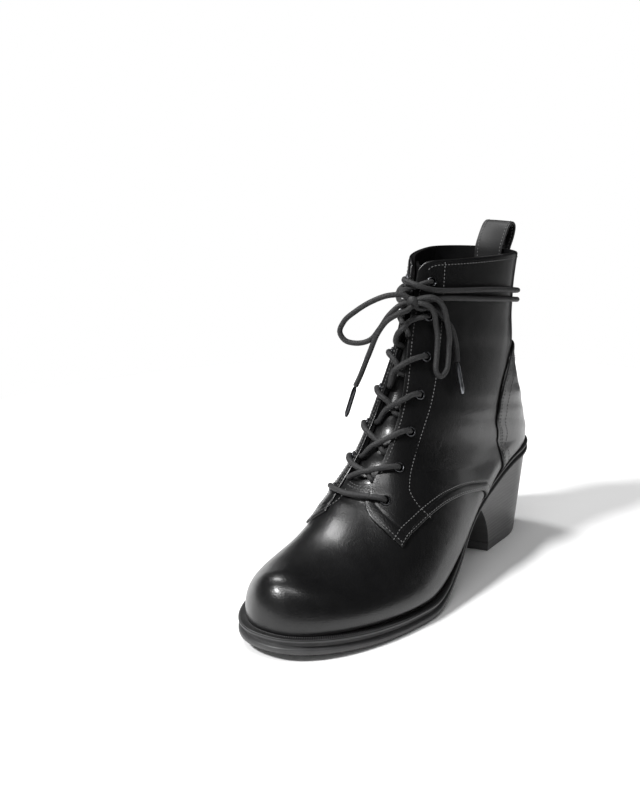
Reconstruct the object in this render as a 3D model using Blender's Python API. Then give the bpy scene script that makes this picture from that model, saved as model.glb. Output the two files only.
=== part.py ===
"""Lace-up ankle boot for the left foot, standing empty on its sole.

Metres, +Z up. The toe points along -Y, the outer side of the foot is +X, and the floor is z = 0.
Everything is drawn with the back of the sole at y = 0, and then moved back by ORIGIN_AHEAD, so that the
origin lies under the middle of the heel.
"""
import bpy
import numpy as np

# driving sizes
LENGTH = 0.262
BALL_WIDTH = 0.0968
HEEL_SEAT = 0.0607
SOLE = 0.0085
WAIST_SOLE = 0.0066
TOE_SPRING = 0.0047
HEIGHT = 0.184
WELT = 0.0042
WELT_THICK = 0.0020
GAP = 0.0003
WALL = 0.0018
OVERLAY = 0.0011
INSOLE_THICK = 0.0025
LIFT_THICK = 0.0055
ORIGIN_AHEAD = 0.040
CLEAR = 0.030

# shaping of the sole's outline: how far the rounding of each end reaches, and how square it is
HEEL_CAP = 0.14
HEEL_ROUND = 2.25
TOE_CAP = 0.383
TOE_ROUND = 2.32
TOE_TOP_CAP = 0.0726
TOE_TOP_ROUND = 2.4

FOOTPRINT = np.array([
    # share of length, outer and inner half width as shares of the ball width
    (0.00, 0.298, 0.319),
    (0.12, 0.312, 0.326),
    (0.24, 0.324, 0.307),
    (0.38, 0.343, 0.285),
    (0.52, 0.440, 0.370),
    (0.64, 0.501, 0.466),
    (0.74, 0.494, 0.488),
    (0.84, 0.482, 0.474),
    (1.00, 0.444, 0.438),
])

SEAT = np.array([
    # share of length, rise as a share of the heel's, lift as a share of the toe spring
    (0.00, 1.000, 0.00),
    (0.10, 0.965, 0.00),
    (0.20, 0.880, 0.00),
    (0.30, 0.710, 0.00),
    (0.40, 0.470, 0.00),
    (0.50, 0.230, 0.00),
    (0.59, 0.055, 0.00),
    (0.66, 0.000, 0.00),
    (0.73, 0.000, 0.00),
    (0.80, 0.000, 0.13),
    (0.90, 0.000, 0.50),
    (1.00, 0.000, 1.00),
])

HEEL_STATION = 0.42
TOE_STATION = 0.60
FRONT_PART = 0.5
NEAR = 0.0004
RIM_BLEND = 0.012
SECTIONS = np.array([
    # station, front: share of length, of height; back: share of length, lift;
    # outer and inner half width (share of ball width), widest place, fullness in front and behind
    (0.00, 0.440, 1.000, 0.127, 1.000, 0.292, 0.275, 0.76, 1.50, 1.80),
    (0.07, 0.460, 0.900, 0.130, 0.812, 0.279, 0.273, 0.75, 1.50, 1.80),
    (0.14, 0.484, 0.802, 0.118, 0.616, 0.277, 0.275, 0.74, 1.52, 1.82),
    (0.21, 0.510, 0.711, 0.098, 0.421, 0.281, 0.282, 0.72, 1.64, 1.90),
    (0.28, 0.537, 0.620, 0.060, 0.240, 0.295, 0.296, 0.69, 1.90, 2.10),
    (0.35, 0.563, 0.538, 0.034, 0.103, 0.296, 0.300, 0.67, 2.20, 2.30),
    (0.42, 0.597, 0.468, 0.016, 0.000, 0.296, 0.297, 0.68, 2.35, 2.40),
    (0.50, 0.631, 0.398, 0.165, 0.000, 0.322, 0.317, 0.71, 2.38, 2.50),
    (0.58, 0.669, 0.339, 0.328, 0.000, 0.391, 0.361, 0.75, 2.25, 2.60),
    (0.66, 0.718, 0.280, 0.496, 0.000, 0.455, 0.418, 0.80, 1.98, 2.60),
    (0.74, 0.780, 0.233, 0.657, 0.000, 0.486, 0.455, 0.83, 1.82, 2.60),
    (0.83, 0.853, 0.212, 0.797, 0.000, 0.466, 0.457, 0.84, 1.78, 2.60),
    (0.92, 0.926, 0.212, 0.926, 0.000, 0.439, 0.430, 0.84, 1.80, 2.60),
    (1.00, 0.984, 0.222, 0.984, 0.000, 0.400, 0.390, 0.84, 1.85, 2.60),
])

THROAT_END = 0.545
THROAT = np.array([
    # station, girth of the outer and of the inner front edge
    (0.00, 0.024, 0.085),
    (0.05, 0.020, 0.060),
    (0.11, 0.022, 0.048),
    (0.18, 0.045, 0.040),
    (0.24, 0.063, 0.045),
    (0.30, 0.067, 0.060),
    (0.36, 0.063, 0.071),
    (0.42, 0.061, 0.080),
    (0.49, 0.051, 0.094),
    (0.56, 0.043, 0.112),
    (0.60, 0.043, 0.118),
    (1.00, 0.043, 0.118),
])

QUARTER_EDGE = np.array([
    # station and girth along the quarter's lower edge: front of the tab, its tip, then back to the welt
    (0.575, 0.041),
    (0.597, 0.043),
    (0.620, 0.062),
    (0.645, 0.104),
    (0.670, 0.179),
    (0.688, 0.255),
    (0.672, 0.256),
    (0.655, 0.262),
    (0.618, 0.300),
    (0.592, 0.345),
    (0.578, 0.385),
    (0.568, 0.440),
    (0.566, 0.520),
    (0.572, 0.640),
    (0.582, 0.800),
])

COUNTER_EDGE = np.array([
    # station and girth along the counter's edge, from the back seam down to the welt
    (0.166, 0.900),
    (0.168, 0.740),
    (0.174, 0.630),
    (0.190, 0.545),
    (0.215, 0.490),
    (0.270, 0.452),
    (0.350, 0.454),
    (0.382, 0.462),
    (0.418, 0.472),
    (0.454, 0.492),
    (0.497, 0.609),
    (0.527, 0.860),
])

EYELETS = np.array([
    # station, girth on the outer side, girth on the inner side
    (0.590, 0.121, 0.190),
    (0.485, 0.133, 0.172),
    (0.380, 0.134, 0.150),
    (0.288, 0.142, 0.135),
    (0.205, 0.148, 0.130),
    (0.118, 0.130, 0.125),
    (0.048, 0.117, 0.120),
])
LACE = 0.0036
EYELET_HOLE = 0.0020
EYELET_RIM = 0.0030
EYELET_HEIGHT = 0.0006
EYELET_GAP = 0.00035

BLACK_LEATHER = (0.012, 0.012, 0.013)
LINING = (0.020, 0.019, 0.018)
SOLE_BLACK = (0.030, 0.030, 0.031)
STACK = (0.028, 0.027, 0.026)
GUNMETAL = (0.10, 0.10, 0.105)
LACE_BLACK = (0.035, 0.035, 0.036)


def smooth(table, column, x, level=False):
    """A table's column at x, with even slopes through the rows; level keeps its flats flat."""
    xs, ys = table[:, 0], table[:, column]
    h = np.diff(xs)
    d = np.diff(ys) / h
    slope = np.r_[d[0], (d[:-1] * h[1:] + d[1:] * h[:-1]) / (h[1:] + h[:-1]), d[-1]]
    if level:
        flattest = 3 * np.minimum(abs(d[:-1]), abs(d[1:]))
        inner = np.sign(slope[1:-1]) * np.minimum(abs(slope[1:-1]), flattest)
        slope[1:-1] = np.where(d[:-1] * d[1:] <= 0, 0, inner)
    x = np.clip(np.asarray(x, float), xs[0], xs[-1])
    i = np.clip(np.searchsorted(xs, x, side="right") - 1, 0, len(xs) - 2)
    t = (x - xs[i]) / h[i]
    rise = (3 * t**2 - 2 * t**3) * (ys[i + 1] - ys[i])
    bend = (t**3 - 2 * t**2 + t) * h[i] * slope[i] + (t**3 - t**2) * h[i] * slope[i + 1]
    return ys[i] + rise + bend


def round_end(reach, cap, power):
    """1 well inside, falling to 0 at an end as a superellipse does."""
    return (1 - np.clip(1 - reach / cap, 0, 1) ** power) ** (1 / power)


def seat(share):
    """Height of the welt's top."""
    rise = smooth(SEAT, 1, share, True) * (HEEL_SEAT - SOLE)
    return SOLE + rise + smooth(SEAT, 2, share, True) * TOE_SPRING


def half_widths(share, inset=0.0):
    """Outer and inner half width of the sole's outline, moved in by the inset."""
    margin = inset / LENGTH
    share = np.clip(share, margin, 1 - margin)
    heel = round_end(share - margin, HEEL_CAP, HEEL_ROUND)
    toe = round_end(1 - margin - share, TOE_CAP, TOE_ROUND)
    return [(smooth(FOOTPRINT, c, share) * BALL_WIDTH - inset) * heel * toe for c in (1, 2)]


def last(station, girth):
    """The upper's surface. Stations run from collar to toe; girth is 0 in front, 1 and -1 at the edges."""
    u, g = np.broadcast_arrays(np.asarray(station, float), np.asarray(girth, float))
    row = [smooth(SECTIONS, c, u) for c in range(SECTIONS.shape[1])]
    start, end = WELT / LENGTH, 1 - WELT / LENGTH
    front = np.clip(row[1], start, end)
    back = np.clip(row[3], start, end)
    opened = u > HEEL_STATION
    toe_top = np.where(u > TOE_STATION, round_end(end - front, TOE_TOP_CAP, TOE_TOP_ROUND), 1)
    z_front = seat(front) + (row[2] * HEIGHT - seat(front)) * toe_top + GAP
    z_back = seat(back) + np.where(opened, 0, row[4]) * (HEIGHT - seat(back)) + GAP
    outer, inner = half_widths(back, WELT)
    edge = np.where(g > 0, outer, inner)
    toe = np.where(opened, round_end(end - back, TOE_CAP, TOE_ROUND), 1)
    wide = np.maximum(np.where(g > 0, row[5], row[6]) * BALL_WIDTH * toe, edge + 1e-9)
    widest, n, m = row[7], row[8], row[9]
    shut = np.where(opened, np.clip(1 - (edge / wide) ** m, 0, 1), 1)
    arc = np.clip(abs(g) / FRONT_PART, 0, 1) * np.pi / 2
    turn = np.clip((abs(g) - FRONT_PART) / (1 - FRONT_PART), 0, 1) * np.arcsin(np.sqrt(shut))
    part = (np.sin(turn) ** 2 / np.maximum(shut, 1e-9)) ** (1 / m)
    in_front = abs(g) <= FRONT_PART
    down = np.where(in_front, widest * (1 - np.cos(arc) ** (2 / n)), widest + (1 - widest) * part)
    behind = np.clip(1 - shut * part**m, 0, 1) ** (1 / m)
    out = wide * np.where(in_front, np.sin(arc) ** (2 / n), behind)
    y = -LENGTH * (front + down * (back - front))
    return np.stack([np.sign(g) * out, y, z_front + down * (z_back - z_front)], -1)


def rim_direction(points):
    """Level directions square to the sole's outline, for points near it."""
    x, share = points[..., 0], np.clip(-points[..., 1] / LENGTH, 0, 1)
    column = np.where(x > 0, 1, 2)
    width, wider = [np.where(column == 1, smooth(FOOTPRINT, 1, at), smooth(FOOTPRINT, 2, at)) * BALL_WIDTH
                    for at in (share, share + 0.004)]
    slope = (wider - width) / (0.004 * LENGTH)
    toe = share > 0.5
    power = np.where(toe, TOE_ROUND, HEEL_ROUND)
    cap = np.where(toe, TOE_CAP, HEEL_CAP)
    reach = np.clip(1 - np.where(toe, 1 - share, share) / cap, 0, 1)
    part = np.clip(abs(x) / width, 0, 1.2)
    across = np.sign(x) * part ** (power - 1) / width
    along = part**power * slope / width + np.where(toe, -1, 1) * reach ** (power - 1) / (cap * LENGTH)
    n = np.stack([across, along, 0 * x], -1)
    return n / np.maximum(np.linalg.norm(n, axis=-1, keepdims=True), 1e-15)


def near_welt(points):
    """1 on the welt's top, falling to 0 a little above it."""
    rise = points[..., 2] - seat(-points[..., 1] / LENGTH) - GAP
    return np.clip(1 - rise / RIM_BLEND, 0, 1)[..., None] ** 2


def outward(station, girth):
    """Unit normals of the upper's surface, level where it meets the welt."""
    u, g = np.broadcast_arrays(np.asarray(station, float), np.asarray(girth, float))
    points = last(u, g)
    u = np.where(abs(u - HEEL_STATION) < 2 * NEAR, HEEL_STATION - 2 * NEAR, np.clip(u, NEAR, 0.994))
    along = last(u + NEAR, g) - last(u - NEAR, g)
    round_ = last(u, np.clip(g + 2 * NEAR, -1, 1)) - last(u, np.clip(g - 2 * NEAR, -1, 1))
    n = np.cross(along, round_)
    n /= np.maximum(np.linalg.norm(n, axis=-1, keepdims=True), 1e-15)
    n += (rim_direction(points) - n) * near_welt(points)
    return n / np.maximum(np.linalg.norm(n, axis=-1, keepdims=True), 1e-15)


def layer(station, girth, offset):
    """The upper's surface moved out by the offset, following the welt's top along the edge."""
    points = last(station, girth)
    moved = points + outward(station, girth) * offset
    rise = seat(-moved[..., 1] / LENGTH) - seat(-points[..., 1] / LENGTH)
    moved[..., 2] += rise * near_welt(points)[..., 0]
    return moved


def material(name, colour, roughness, metallic=0.0):
    """A plain look of this name."""
    made = bpy.data.materials.get(name) or bpy.data.materials.new(name)
    made.use_nodes = True
    shader = made.node_tree.nodes["Principled BSDF"]
    shader.inputs["Base Color"].default_value = (*colour, 1)
    shader.inputs["Roughness"].default_value = roughness
    shader.inputs["Metallic"].default_value = metallic
    made.diffuse_color = (*colour, 1)
    return made


def add(name, points, faces, look, rounded=True):
    """One object from points and faces."""
    mesh = bpy.data.meshes.new(name)
    mesh.from_pydata([tuple(p) for p in np.asarray(points, float)], [], [list(f) for f in faces])
    mesh.update()
    made = bpy.data.objects.new(name, mesh)
    bpy.context.scene.collection.objects.link(made)
    made.data.materials.append(look)
    for face in mesh.polygons:
        face.use_smooth = rounded
    return made


def sheet_faces(points, keep=None):
    """Triangles over a grid of points, with points that coincide made one, and each point's number."""
    rows, cols = points.shape[:2]
    flat = np.round(points.reshape(-1, 3) * 1e6).astype(np.int64)
    _, first, number = np.unique(flat, axis=0, return_index=True, return_inverse=True)
    number = first[number.reshape(-1)].reshape(rows, cols)
    faces = []
    for i in range(rows - 1):
        for j in range(cols - 1):
            if keep is not None and not keep[i, j]:
                continue
            ring = [number[i, j], number[i + 1, j], number[i + 1, j + 1], number[i, j + 1]]
            corners = points[[i, i + 1, i + 1, i], [j, j, j + 1, j + 1]]
            first_way = np.linalg.norm(corners[0] - corners[2]) < np.linalg.norm(corners[1] - corners[3])
            for part in ((0, 1, 2), (0, 2, 3)) if first_way else ((0, 1, 3), (1, 2, 3)):
                face = [ring[k] for k in part]
                if len(set(face)) == 3:
                    faces.append(face)
    return number, faces


def rounded_ridge(sheet, column):
    """The sheet with this column put where its neighbours on each side lead evenly."""
    near = sheet[:, column - 1] + sheet[:, column + 1]
    far = sheet[:, column - 2] + sheet[:, column + 2]
    apart = np.linalg.norm(sheet[:, column - 1] - sheet[:, column + 1], axis=-1)
    wider = np.linalg.norm(sheet[:, column - 2] - sheet[:, column + 2], axis=-1)
    pull = (apart**2 / (wider**2 - apart**2))[:, None]
    sheet[:, column] = (near + (near - far) * pull) / 2
    return sheet


def shell(name, grid, low, high, look, keep=None, ridge=None):
    """A solid between two layers over a grid of stations and girths, closed along every open edge."""
    number, faces = sheet_faces(last(*grid), keep)
    count = number.size
    groups = number.reshape(-1)
    share = np.maximum(np.bincount(groups, minlength=count), 1)[:, None]
    sheets = []
    for offset in (high, low):
        points = layer(*grid, offset)
        if ridge is not None:
            points = rounded_ridge(points, ridge)
        sheet = np.zeros((count, 3))
        np.add.at(sheet, groups, points.reshape(-1, 3))
        sheets.append(sheet / share)
    edges = {(ring[k - 1], a) for ring in faces for k, a in enumerate(ring)}
    rim = [[b, a, a + count, b + count] for a, b in sorted(edges) if (b, a) not in edges]
    everything = faces + [[a + count for a in ring[::-1]] for ring in faces] + rim
    used = np.unique(np.concatenate([np.asarray(ring) for ring in everything]))
    place = {old: new for new, old in enumerate(used)}
    return add(name, np.concatenate(sheets)[used], [[place[a] for a in ring] for ring in everything], look)


def loft(name, sections, look, capped=False):
    """A solid through closed sections that have as many points each; its ends fold flat, or are capped."""
    around = sections.shape[1]
    number, faces = sheet_faces(np.concatenate([sections, sections[:, :1]], 1))
    for ring in (number[0], number[-1][::-1]) if capped else ():
        strips = [(ring[k], ring[k + 1], ring[-k - 3], ring[-k - 2]) for k in range(around // 2 - 1)]
        faces += [list(strip) for strip in strips if len(set(strip)) == 4]
    used = np.unique(np.concatenate([np.asarray(ring) for ring in faces]))
    place = {old: new for new, old in enumerate(used)}
    flat = np.concatenate([sections, sections[:, :1]], 1).reshape(-1, 3)
    return add(name, flat[used], [[place[a] for a in ring] for ring in faces], look)


def cut(target, cutter, crossing=False):
    """Takes the cutter away from the target; crossing allows for a target that meets itself."""
    cutter.hide_render = True
    cutter.display_type = "WIRE"
    modifier = target.modifiers.new("cut", "BOOLEAN")
    modifier.operation = "DIFFERENCE"
    modifier.solver = "EXACT"
    modifier.use_self = crossing
    modifier.object = cutter


def frame_at(normal):
    """Two directions square to a normal, the first as level as it can be."""
    side = np.cross(normal, (0, 0, 1))
    side /= np.linalg.norm(side)
    return side, np.cross(normal, side)


def disc(centre, normal, radius, low, high, sides=8):
    """Points and faces of a rod along a normal."""
    a, b = frame_at(normal)
    turn = np.linspace(0, 2 * np.pi, sides, endpoint=False)
    spoke = (np.cos(turn)[:, None] * a + np.sin(turn)[:, None] * b) * radius
    points = np.concatenate([centre + spoke + normal * h for h in (low, high)])
    faces = [list(range(sides))[::-1], list(range(sides, 2 * sides))]
    faces += [[k, (k + 1) % sides, (k + 1) % sides + sides, k + sides] for k in range(sides)]
    return points, faces


def washer(name, centre, normal, inner, outer, low, high, look, sides=8):
    """A flat ring about a normal."""
    a, b = frame_at(normal)
    turn = np.linspace(0, 2 * np.pi, sides, endpoint=False)
    spoke = np.cos(turn)[:, None] * a + np.sin(turn)[:, None] * b
    corners = [(outer, low), (outer, high), (inner, high), (inner, low)]
    points = np.concatenate([centre + spoke * r + normal * h for r, h in corners])
    faces = []
    for c in range(4):
        near, far = c * sides, (c + 1) % 4 * sides
        for k in range(sides):
            after = (k + 1) % sides
            faces.append([near + k, near + after, far + after, far + k])
    return add(name, points, faces, look, rounded=False)


def collar_drop(girth, edge):
    """How far the collar dips, in stations, as its front corners round down to the throat."""
    near = np.clip((abs(girth) - edge) / 0.13, 0, 1)
    return 0.004 + 0.036 * (1 - near) ** 3


def upper_grid(rows, side_columns, throat_columns):
    """Stations and girths of the whole upper, with two columns that follow the throat's edges."""
    u = np.repeat(rows[:, None], 2 * side_columns + throat_columns + 1, 1)
    outer_edge, inner_edge = smooth(THROAT, 1, rows), smooth(THROAT, 2, rows)
    part = np.linspace(0, 1, side_columns + 1)
    g = np.concatenate([
        -1 + part[None, :] * (1 - inner_edge[:, None]),
        (-inner_edge[:, None] + np.linspace(0, 1, throat_columns + 1)[None, 1:-1]
         * (outer_edge + inner_edge)[:, None]),
        outer_edge[:, None] + part[None, :] * (1 - outer_edge[:, None]),
    ], 1)
    edge = np.where(g > 0, outer_edge[:, None], inner_edge[:, None])
    return u + collar_drop(g, edge) * np.clip(1 - u / 0.2, 0, 1), g


leather = material("black leather", BLACK_LEATHER, 0.25)
lining = material("lining", LINING, 0.7)
sole_rubber = material("sole", SOLE_BLACK, 0.5)
stacked = material("stacked heel", STACK, 0.45)
metal = material("gunmetal", GUNMETAL, 0.3, 1.0)
cord = material("waxed cord", LACE_BLACK, 0.6)

for old in list(bpy.data.objects):
    bpy.data.objects.remove(old)


def side_cutter(name, profile, x_from, x_to):
    """A prism across the boot with this outline in the side view."""
    count = len(profile)
    points = [(x, y, z) for x in (x_from, x_to) for y, z in profile]
    faces = [list(range(count)), list(range(count, 2 * count))[::-1]]
    faces += [[k, k + count, (k + 1) % count + count, (k + 1) % count] for k in range(count)]
    made = add(name, points, faces, leather)
    flat = np.asarray(profile)
    turn = np.roll(flat, -1, 0)
    if (flat[:, 0] * turn[:, 1] - flat[:, 1] * turn[:, 0]).sum() > 0:
        made.data.flip_normals()
    return made


def ring_rows(part, rows):
    """Sections of a flat piece: at each part of its length, points down its outer side and up its inner side.

    A row is an inset from the sole's outline and a drop below the welt's top, as a function of share."""
    outer_side, inner_side = [], []
    for inset, drop in rows:
        margin = inset / LENGTH
        share = margin + (1 - 2 * margin) * part
        outer, inner = half_widths(share, inset)
        z = seat(share) - drop(share)
        outer_side.append(np.stack([outer, -share * LENGTH, z], -1))
        inner_side.append(np.stack([-inner, -share * LENGTH, z], -1))
    return np.stack(outer_side + inner_side[::-1], 1)


# upper: one hollow shell, open at the collar, the throat and underneath
SHAFT_ROWS = np.linspace(0, HEEL_STATION, 10)
HEEL_ROWS = HEEL_STATION + 0.08 * (1 - np.cos(np.linspace(0, np.pi / 2, 5)[1:]))
VAMP_ROWS = np.r_[0.522, THROAT_END, 0.568, 0.590, np.linspace(0.63, 0.86, 5)]
TOE_ROWS = 0.86 + 0.14 * np.sin(np.linspace(0, np.pi / 2, 7)[1:])
SIDE_COLUMNS, THROAT_COLUMNS = 14, 4
BACK_SEAM = 0.985
rows = np.r_[SHAFT_ROWS, HEEL_ROWS, VAMP_ROWS, TOE_ROWS]
u, g = upper_grid(rows, SIDE_COLUMNS, THROAT_COLUMNS)
keep = np.ones((len(rows) - 1, u.shape[1] - 1), bool)
throat_rows = np.flatnonzero(rows[:-1] < THROAT_END - 1e-6)
keep[np.ix_(throat_rows, range(SIDE_COLUMNS, SIDE_COLUMNS + THROAT_COLUMNS))] = False
upper = shell("upper", (u, g), -WALL, 0, leather, keep)

# quarters: overlays over the shaft and the waist, each cut along its lower edge
quarter_rows = np.flatnonzero(rows < 0.74)
edge = last(QUARTER_EDGE[:, 0], QUARTER_EDGE[:, 1])[:, 1:]
ahead = np.array([edge[0] + (-CLEAR, CLEAR), (-LENGTH, HEIGHT / 2), (-LENGTH, -CLEAR)])
for name, side in (("quarter_outer", 1), ("quarter_inner", -1)):
    columns = slice(SIDE_COLUMNS + THROAT_COLUMNS, None) if side > 0 else slice(0, SIDE_COLUMNS + 1)
    part_u, part_g = u[quarter_rows, columns], np.clip(g[quarter_rows, columns], -BACK_SEAM, BACK_SEAM)
    made = shell(name, (part_u, part_g), GAP, GAP + OVERLAY, leather)
    outline = np.concatenate([ahead, [(edge[-1, 0], -CLEAR)], edge[::-1]])
    reach = sorted([-side * GAP, side * BALL_WIDTH])
    cut(made, side_cutter(name + "_cutter", outline, *reach))

# counter: a second overlay round the heel
counter_rows = np.flatnonzero((rows > 0.1) & (rows < 0.62))
outer_half = slice(SIDE_COLUMNS + THROAT_COLUMNS + 4, None)
inner_half = slice(0, SIDE_COLUMNS - 3)
part_u = np.concatenate([u[counter_rows, outer_half], u[counter_rows, inner_half]], 1)
part_g = np.concatenate([g[counter_rows, outer_half], g[counter_rows, inner_half]], 1)
seam = SIDE_COLUMNS - 4
joined = np.ones((len(counter_rows) - 1, part_u.shape[1] - 1), bool)
joined[:, seam] = False
counter_low = 2 * GAP + OVERLAY
counter = shell("counter", (part_u, part_g), counter_low, counter_low + OVERLAY, leather, joined)
edge = last(COUNTER_EDGE[:, 0], COUNTER_EDGE[:, 1])[:, 1:]
ahead = -0.6 * LENGTH
above = HEIGHT + CLEAR
outline = np.concatenate([
    [(CLEAR, edge[0, 1] + WALL / 2)], edge, [(edge[-1, 0] - WALL, 0.0)],
    [(ahead, 0.0), (ahead, above), (CLEAR, above)],
])
cut(counter, side_cutter("counter_cutter", outline, -BALL_WIDTH, BALL_WIDTH), crossing=True)

# welt and sole, from the welt's top down
FLAT_SPOT = (0.665, 0.725)
PART = np.sort(np.r_[0.5 - 0.5 * np.cos(np.linspace(0, np.pi, 40)), FLAT_SPOT])


def thickness(share):
    return WAIST_SOLE + (SOLE - WAIST_SOLE) * np.clip((share - 0.42) / 0.2, 0, 1)


welt = loft("welt", ring_rows(PART, [
    (0.0, lambda s: 0 * s),
    (0.0, lambda s: WELT_THICK + 0 * s),
]), sole_rubber)
SOLE_TOP = WELT_THICK + GAP
outsole = loft("outsole", ring_rows(PART, [
    (0.0012, lambda s: SOLE_TOP + 0 * s),
    (0.0012, lambda s: SOLE_TOP + 0.38 * (thickness(s) - SOLE_TOP)),
    (0.0002, lambda s: SOLE_TOP + 0.48 * (thickness(s) - SOLE_TOP)),
    (0.0000, lambda s: SOLE_TOP + 0.75 * (thickness(s) - SOLE_TOP)),
    (0.0012, lambda s: thickness(s)),
]), sole_rubber)
insole = loft("insole", ring_rows(PART, [
    (WELT + WALL + 0.0016, lambda s: -GAP - INSOLE_THICK + 0 * s),
    (WELT + WALL + 0.0016, lambda s: -GAP + 0 * s),
]), lining)


# heel: stacked block under the outsole's seat, on a top lift, with a concave front face
HEEL_INSET = 0.0050
HEEL_LEAN = 0.0022
HEEL_TOP_INSET = 0.0014
HEEL_LENGTH = np.array([
    # outer and inner side: length along the floor, and along the outsole
    (0.0685, 0.0885),
    (0.0790, 0.0960),
])
BREAST_HOLLOW = 0.0050


def heel_side(side, part, levels):
    """A column down the heel's side, a part of the way to its front corner; levels gives its heights."""
    on_floor, on_sole = HEEL_LENGTH[side]
    sign = (1, -1)[side]

    def ends(hollow):
        low_share = (HEEL_INSET + (on_floor - HEEL_INSET) * part * hollow) / LENGTH
        high_share = (HEEL_TOP_INSET + (on_sole - HEEL_TOP_INSET) * part * hollow) / LENGTH
        top = seat(high_share) - thickness(high_share) - GAP
        low_y = -low_share * LENGTH - HEEL_LEAN * (1 - part)
        return (sign * half_widths(low_share, HEEL_INSET)[side], low_y,
                sign * half_widths(high_share, HEEL_TOP_INSET)[side], -high_share * LENGTH, top)

    top = ends(1.0)[4]
    z = levels(top)
    height = z / top
    low_x, low_y, high_x, high_y, _ = ends(1 - BREAST_HOLLOW * 4 * height * (1 - height) / on_sole)
    return np.stack([low_x + (high_x - low_x) * height, low_y + (high_y - low_y) * height, z], -1)


def heel_block(name, levels, look):
    """A slice of the heel, as columns down its sides that meet along the back."""
    sections = []
    for part in np.sin(np.linspace(0, np.pi / 2, 15)):
        sections.append(np.concatenate([heel_side(0, part, levels), heel_side(1, part, levels)[::-1]]))
    return loft(name, np.array(sections), look, True)


LIFT_TOP = LIFT_THICK + GAP
heel = heel_block("heel", lambda top: LIFT_TOP + (top - LIFT_TOP) * np.linspace(1, 0, 7), stacked)
top_lift = heel_block("top_lift", lambda top: np.array([LIFT_THICK, 0]), sole_rubber)

# tongue: its front is rounded, under the ridge of the upper
TONGUE_GAP = 0.0010
TONGUE_THICK = 0.0016
TONGUE_ROWS = np.linspace(0.015, 0.615, 12)
TONGUE_COLUMNS = np.array([-0.22, -0.18, -0.14, -0.10, 0, 0.10, 0.14, 0.18, 0.22])
tongue_u, tongue_g = np.meshgrid(TONGUE_ROWS, TONGUE_COLUMNS, indexing="ij")
tongue = shell("tongue", (tongue_u, tongue_g), -WALL - TONGUE_GAP - TONGUE_THICK, -WALL - TONGUE_GAP, lining,
               ridge=len(TONGUE_COLUMNS) // 2)

# pull loop: a strip that is folded over the back of the collar, its rear end hanging loose below it
LOOP_WIDTH = 0.0195
LOOP_THICK = 0.0016
LOOP_CURL = 0.020
LOOP_TURN = 0.14
LOOP_PATH = np.array([
    # distance behind the shaft's back line, share of the height, part of the curl
    (-0.0036, 0.925, 1.0),
    (-0.0036, 0.960, 1.0),
    (-0.0035, 0.995, 1.0),
    (-0.0012, 1.030, 0.8),
    (0.0022, 1.064, 0.6),
    (0.0058, 1.076, 0.5),
    (0.0084, 1.062, 0.5),
    (0.0076, 1.030, 0.7),
    (0.0048, 0.995, 0.9),
    (0.0036, 0.965, 1.0),
    (0.0038, 0.925, 1.0),
    (0.0062, 0.880, 0.8),
    (0.0078, 0.835, 0.7),
    (0.0073, 0.790, 0.7),
    (0.0044, 0.745, 0.9),
    (0.0040, 0.703, 1.0),
])


def back_line(share_of_height):
    """How far back the shaft's back line lies at these shares of the height."""
    line = last(np.linspace(0, HEEL_STATION, 60), 1.0)
    return np.interp(share_of_height * HEIGHT, line[::-1, 2], line[::-1, 1])


def strip(name, path, width, thick, curl, look):
    """A band along a path in the side view, bent forward round the shaft at its sides."""
    at = np.arange(len(path), dtype=float)
    steps = np.linspace(0, len(path) - 1, 23)
    keyed = np.column_stack([at, path])
    behind, share, bent = [smooth(keyed, c, steps) for c in (1, 2, 3)]
    centre = np.stack([back_line(np.minimum(share, 1.0)) + behind, share * HEIGHT], -1)
    run = np.gradient(centre, axis=0)
    run /= np.linalg.norm(run, axis=1, keepdims=True)
    square = np.stack([run[:, 1], -run[:, 0]], -1)
    sections = []
    for middle, normal, part in zip(centre, square, bent):
        ring = []
        for side, offsets in ((1, np.linspace(-0.5, 0.5, 5)), (-1, np.linspace(0.5, -0.5, 5))):
            for offset in offsets:
                x = offset * width
                y, z = middle + normal * side * thick / 2
                ring.append((x, y - part * (curl - np.sqrt(curl**2 - x**2)), z))
        sections.append(ring)
    return loft(name, np.array(sections), look, True)


pull_loop = strip("pull_loop", LOOP_PATH, LOOP_WIDTH, LOOP_THICK, LOOP_CURL, leather)
shaft_middle = (back_line(1.0) + last(0.0, 0.0)[1]) / 2
pull_loop.location = (-shaft_middle * np.sin(LOOP_TURN), shaft_middle * (1 - np.cos(LOOP_TURN)), 0)
pull_loop.rotation_euler = (0, 0, -LOOP_TURN)

# eyelets: a ring over a hole through the quarter and the upper behind it
holes = {"upper": [], "quarter_outer": [], "quarter_inner": []}
for number, row in enumerate(EYELETS, 1):
    for side, girth in (("outer", row[1]), ("inner", -row[2])):
        normal = outward(row[0], girth)
        centre = layer(row[0], girth, 0.0)
        low = GAP + OVERLAY + EYELET_GAP
        high = low + EYELET_HEIGHT
        washer(f"eyelet_{side}_{number}", centre, normal, EYELET_HOLE, EYELET_RIM, low, high, metal)
        for target in ("upper", "quarter_" + side):
            holes[target].append((centre, normal))
for target, places in holes.items():
    points, faces = [], []
    for centre, normal in places:
        rod = disc(centre, normal, EYELET_HOLE, -0.005, 0.004)
        faces += [[index + len(points) for index in face] for face in rod[1]]
        points += list(rod[0])
    cut(bpy.data.objects[target], add(target + "_holes", points, faces, metal))

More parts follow.
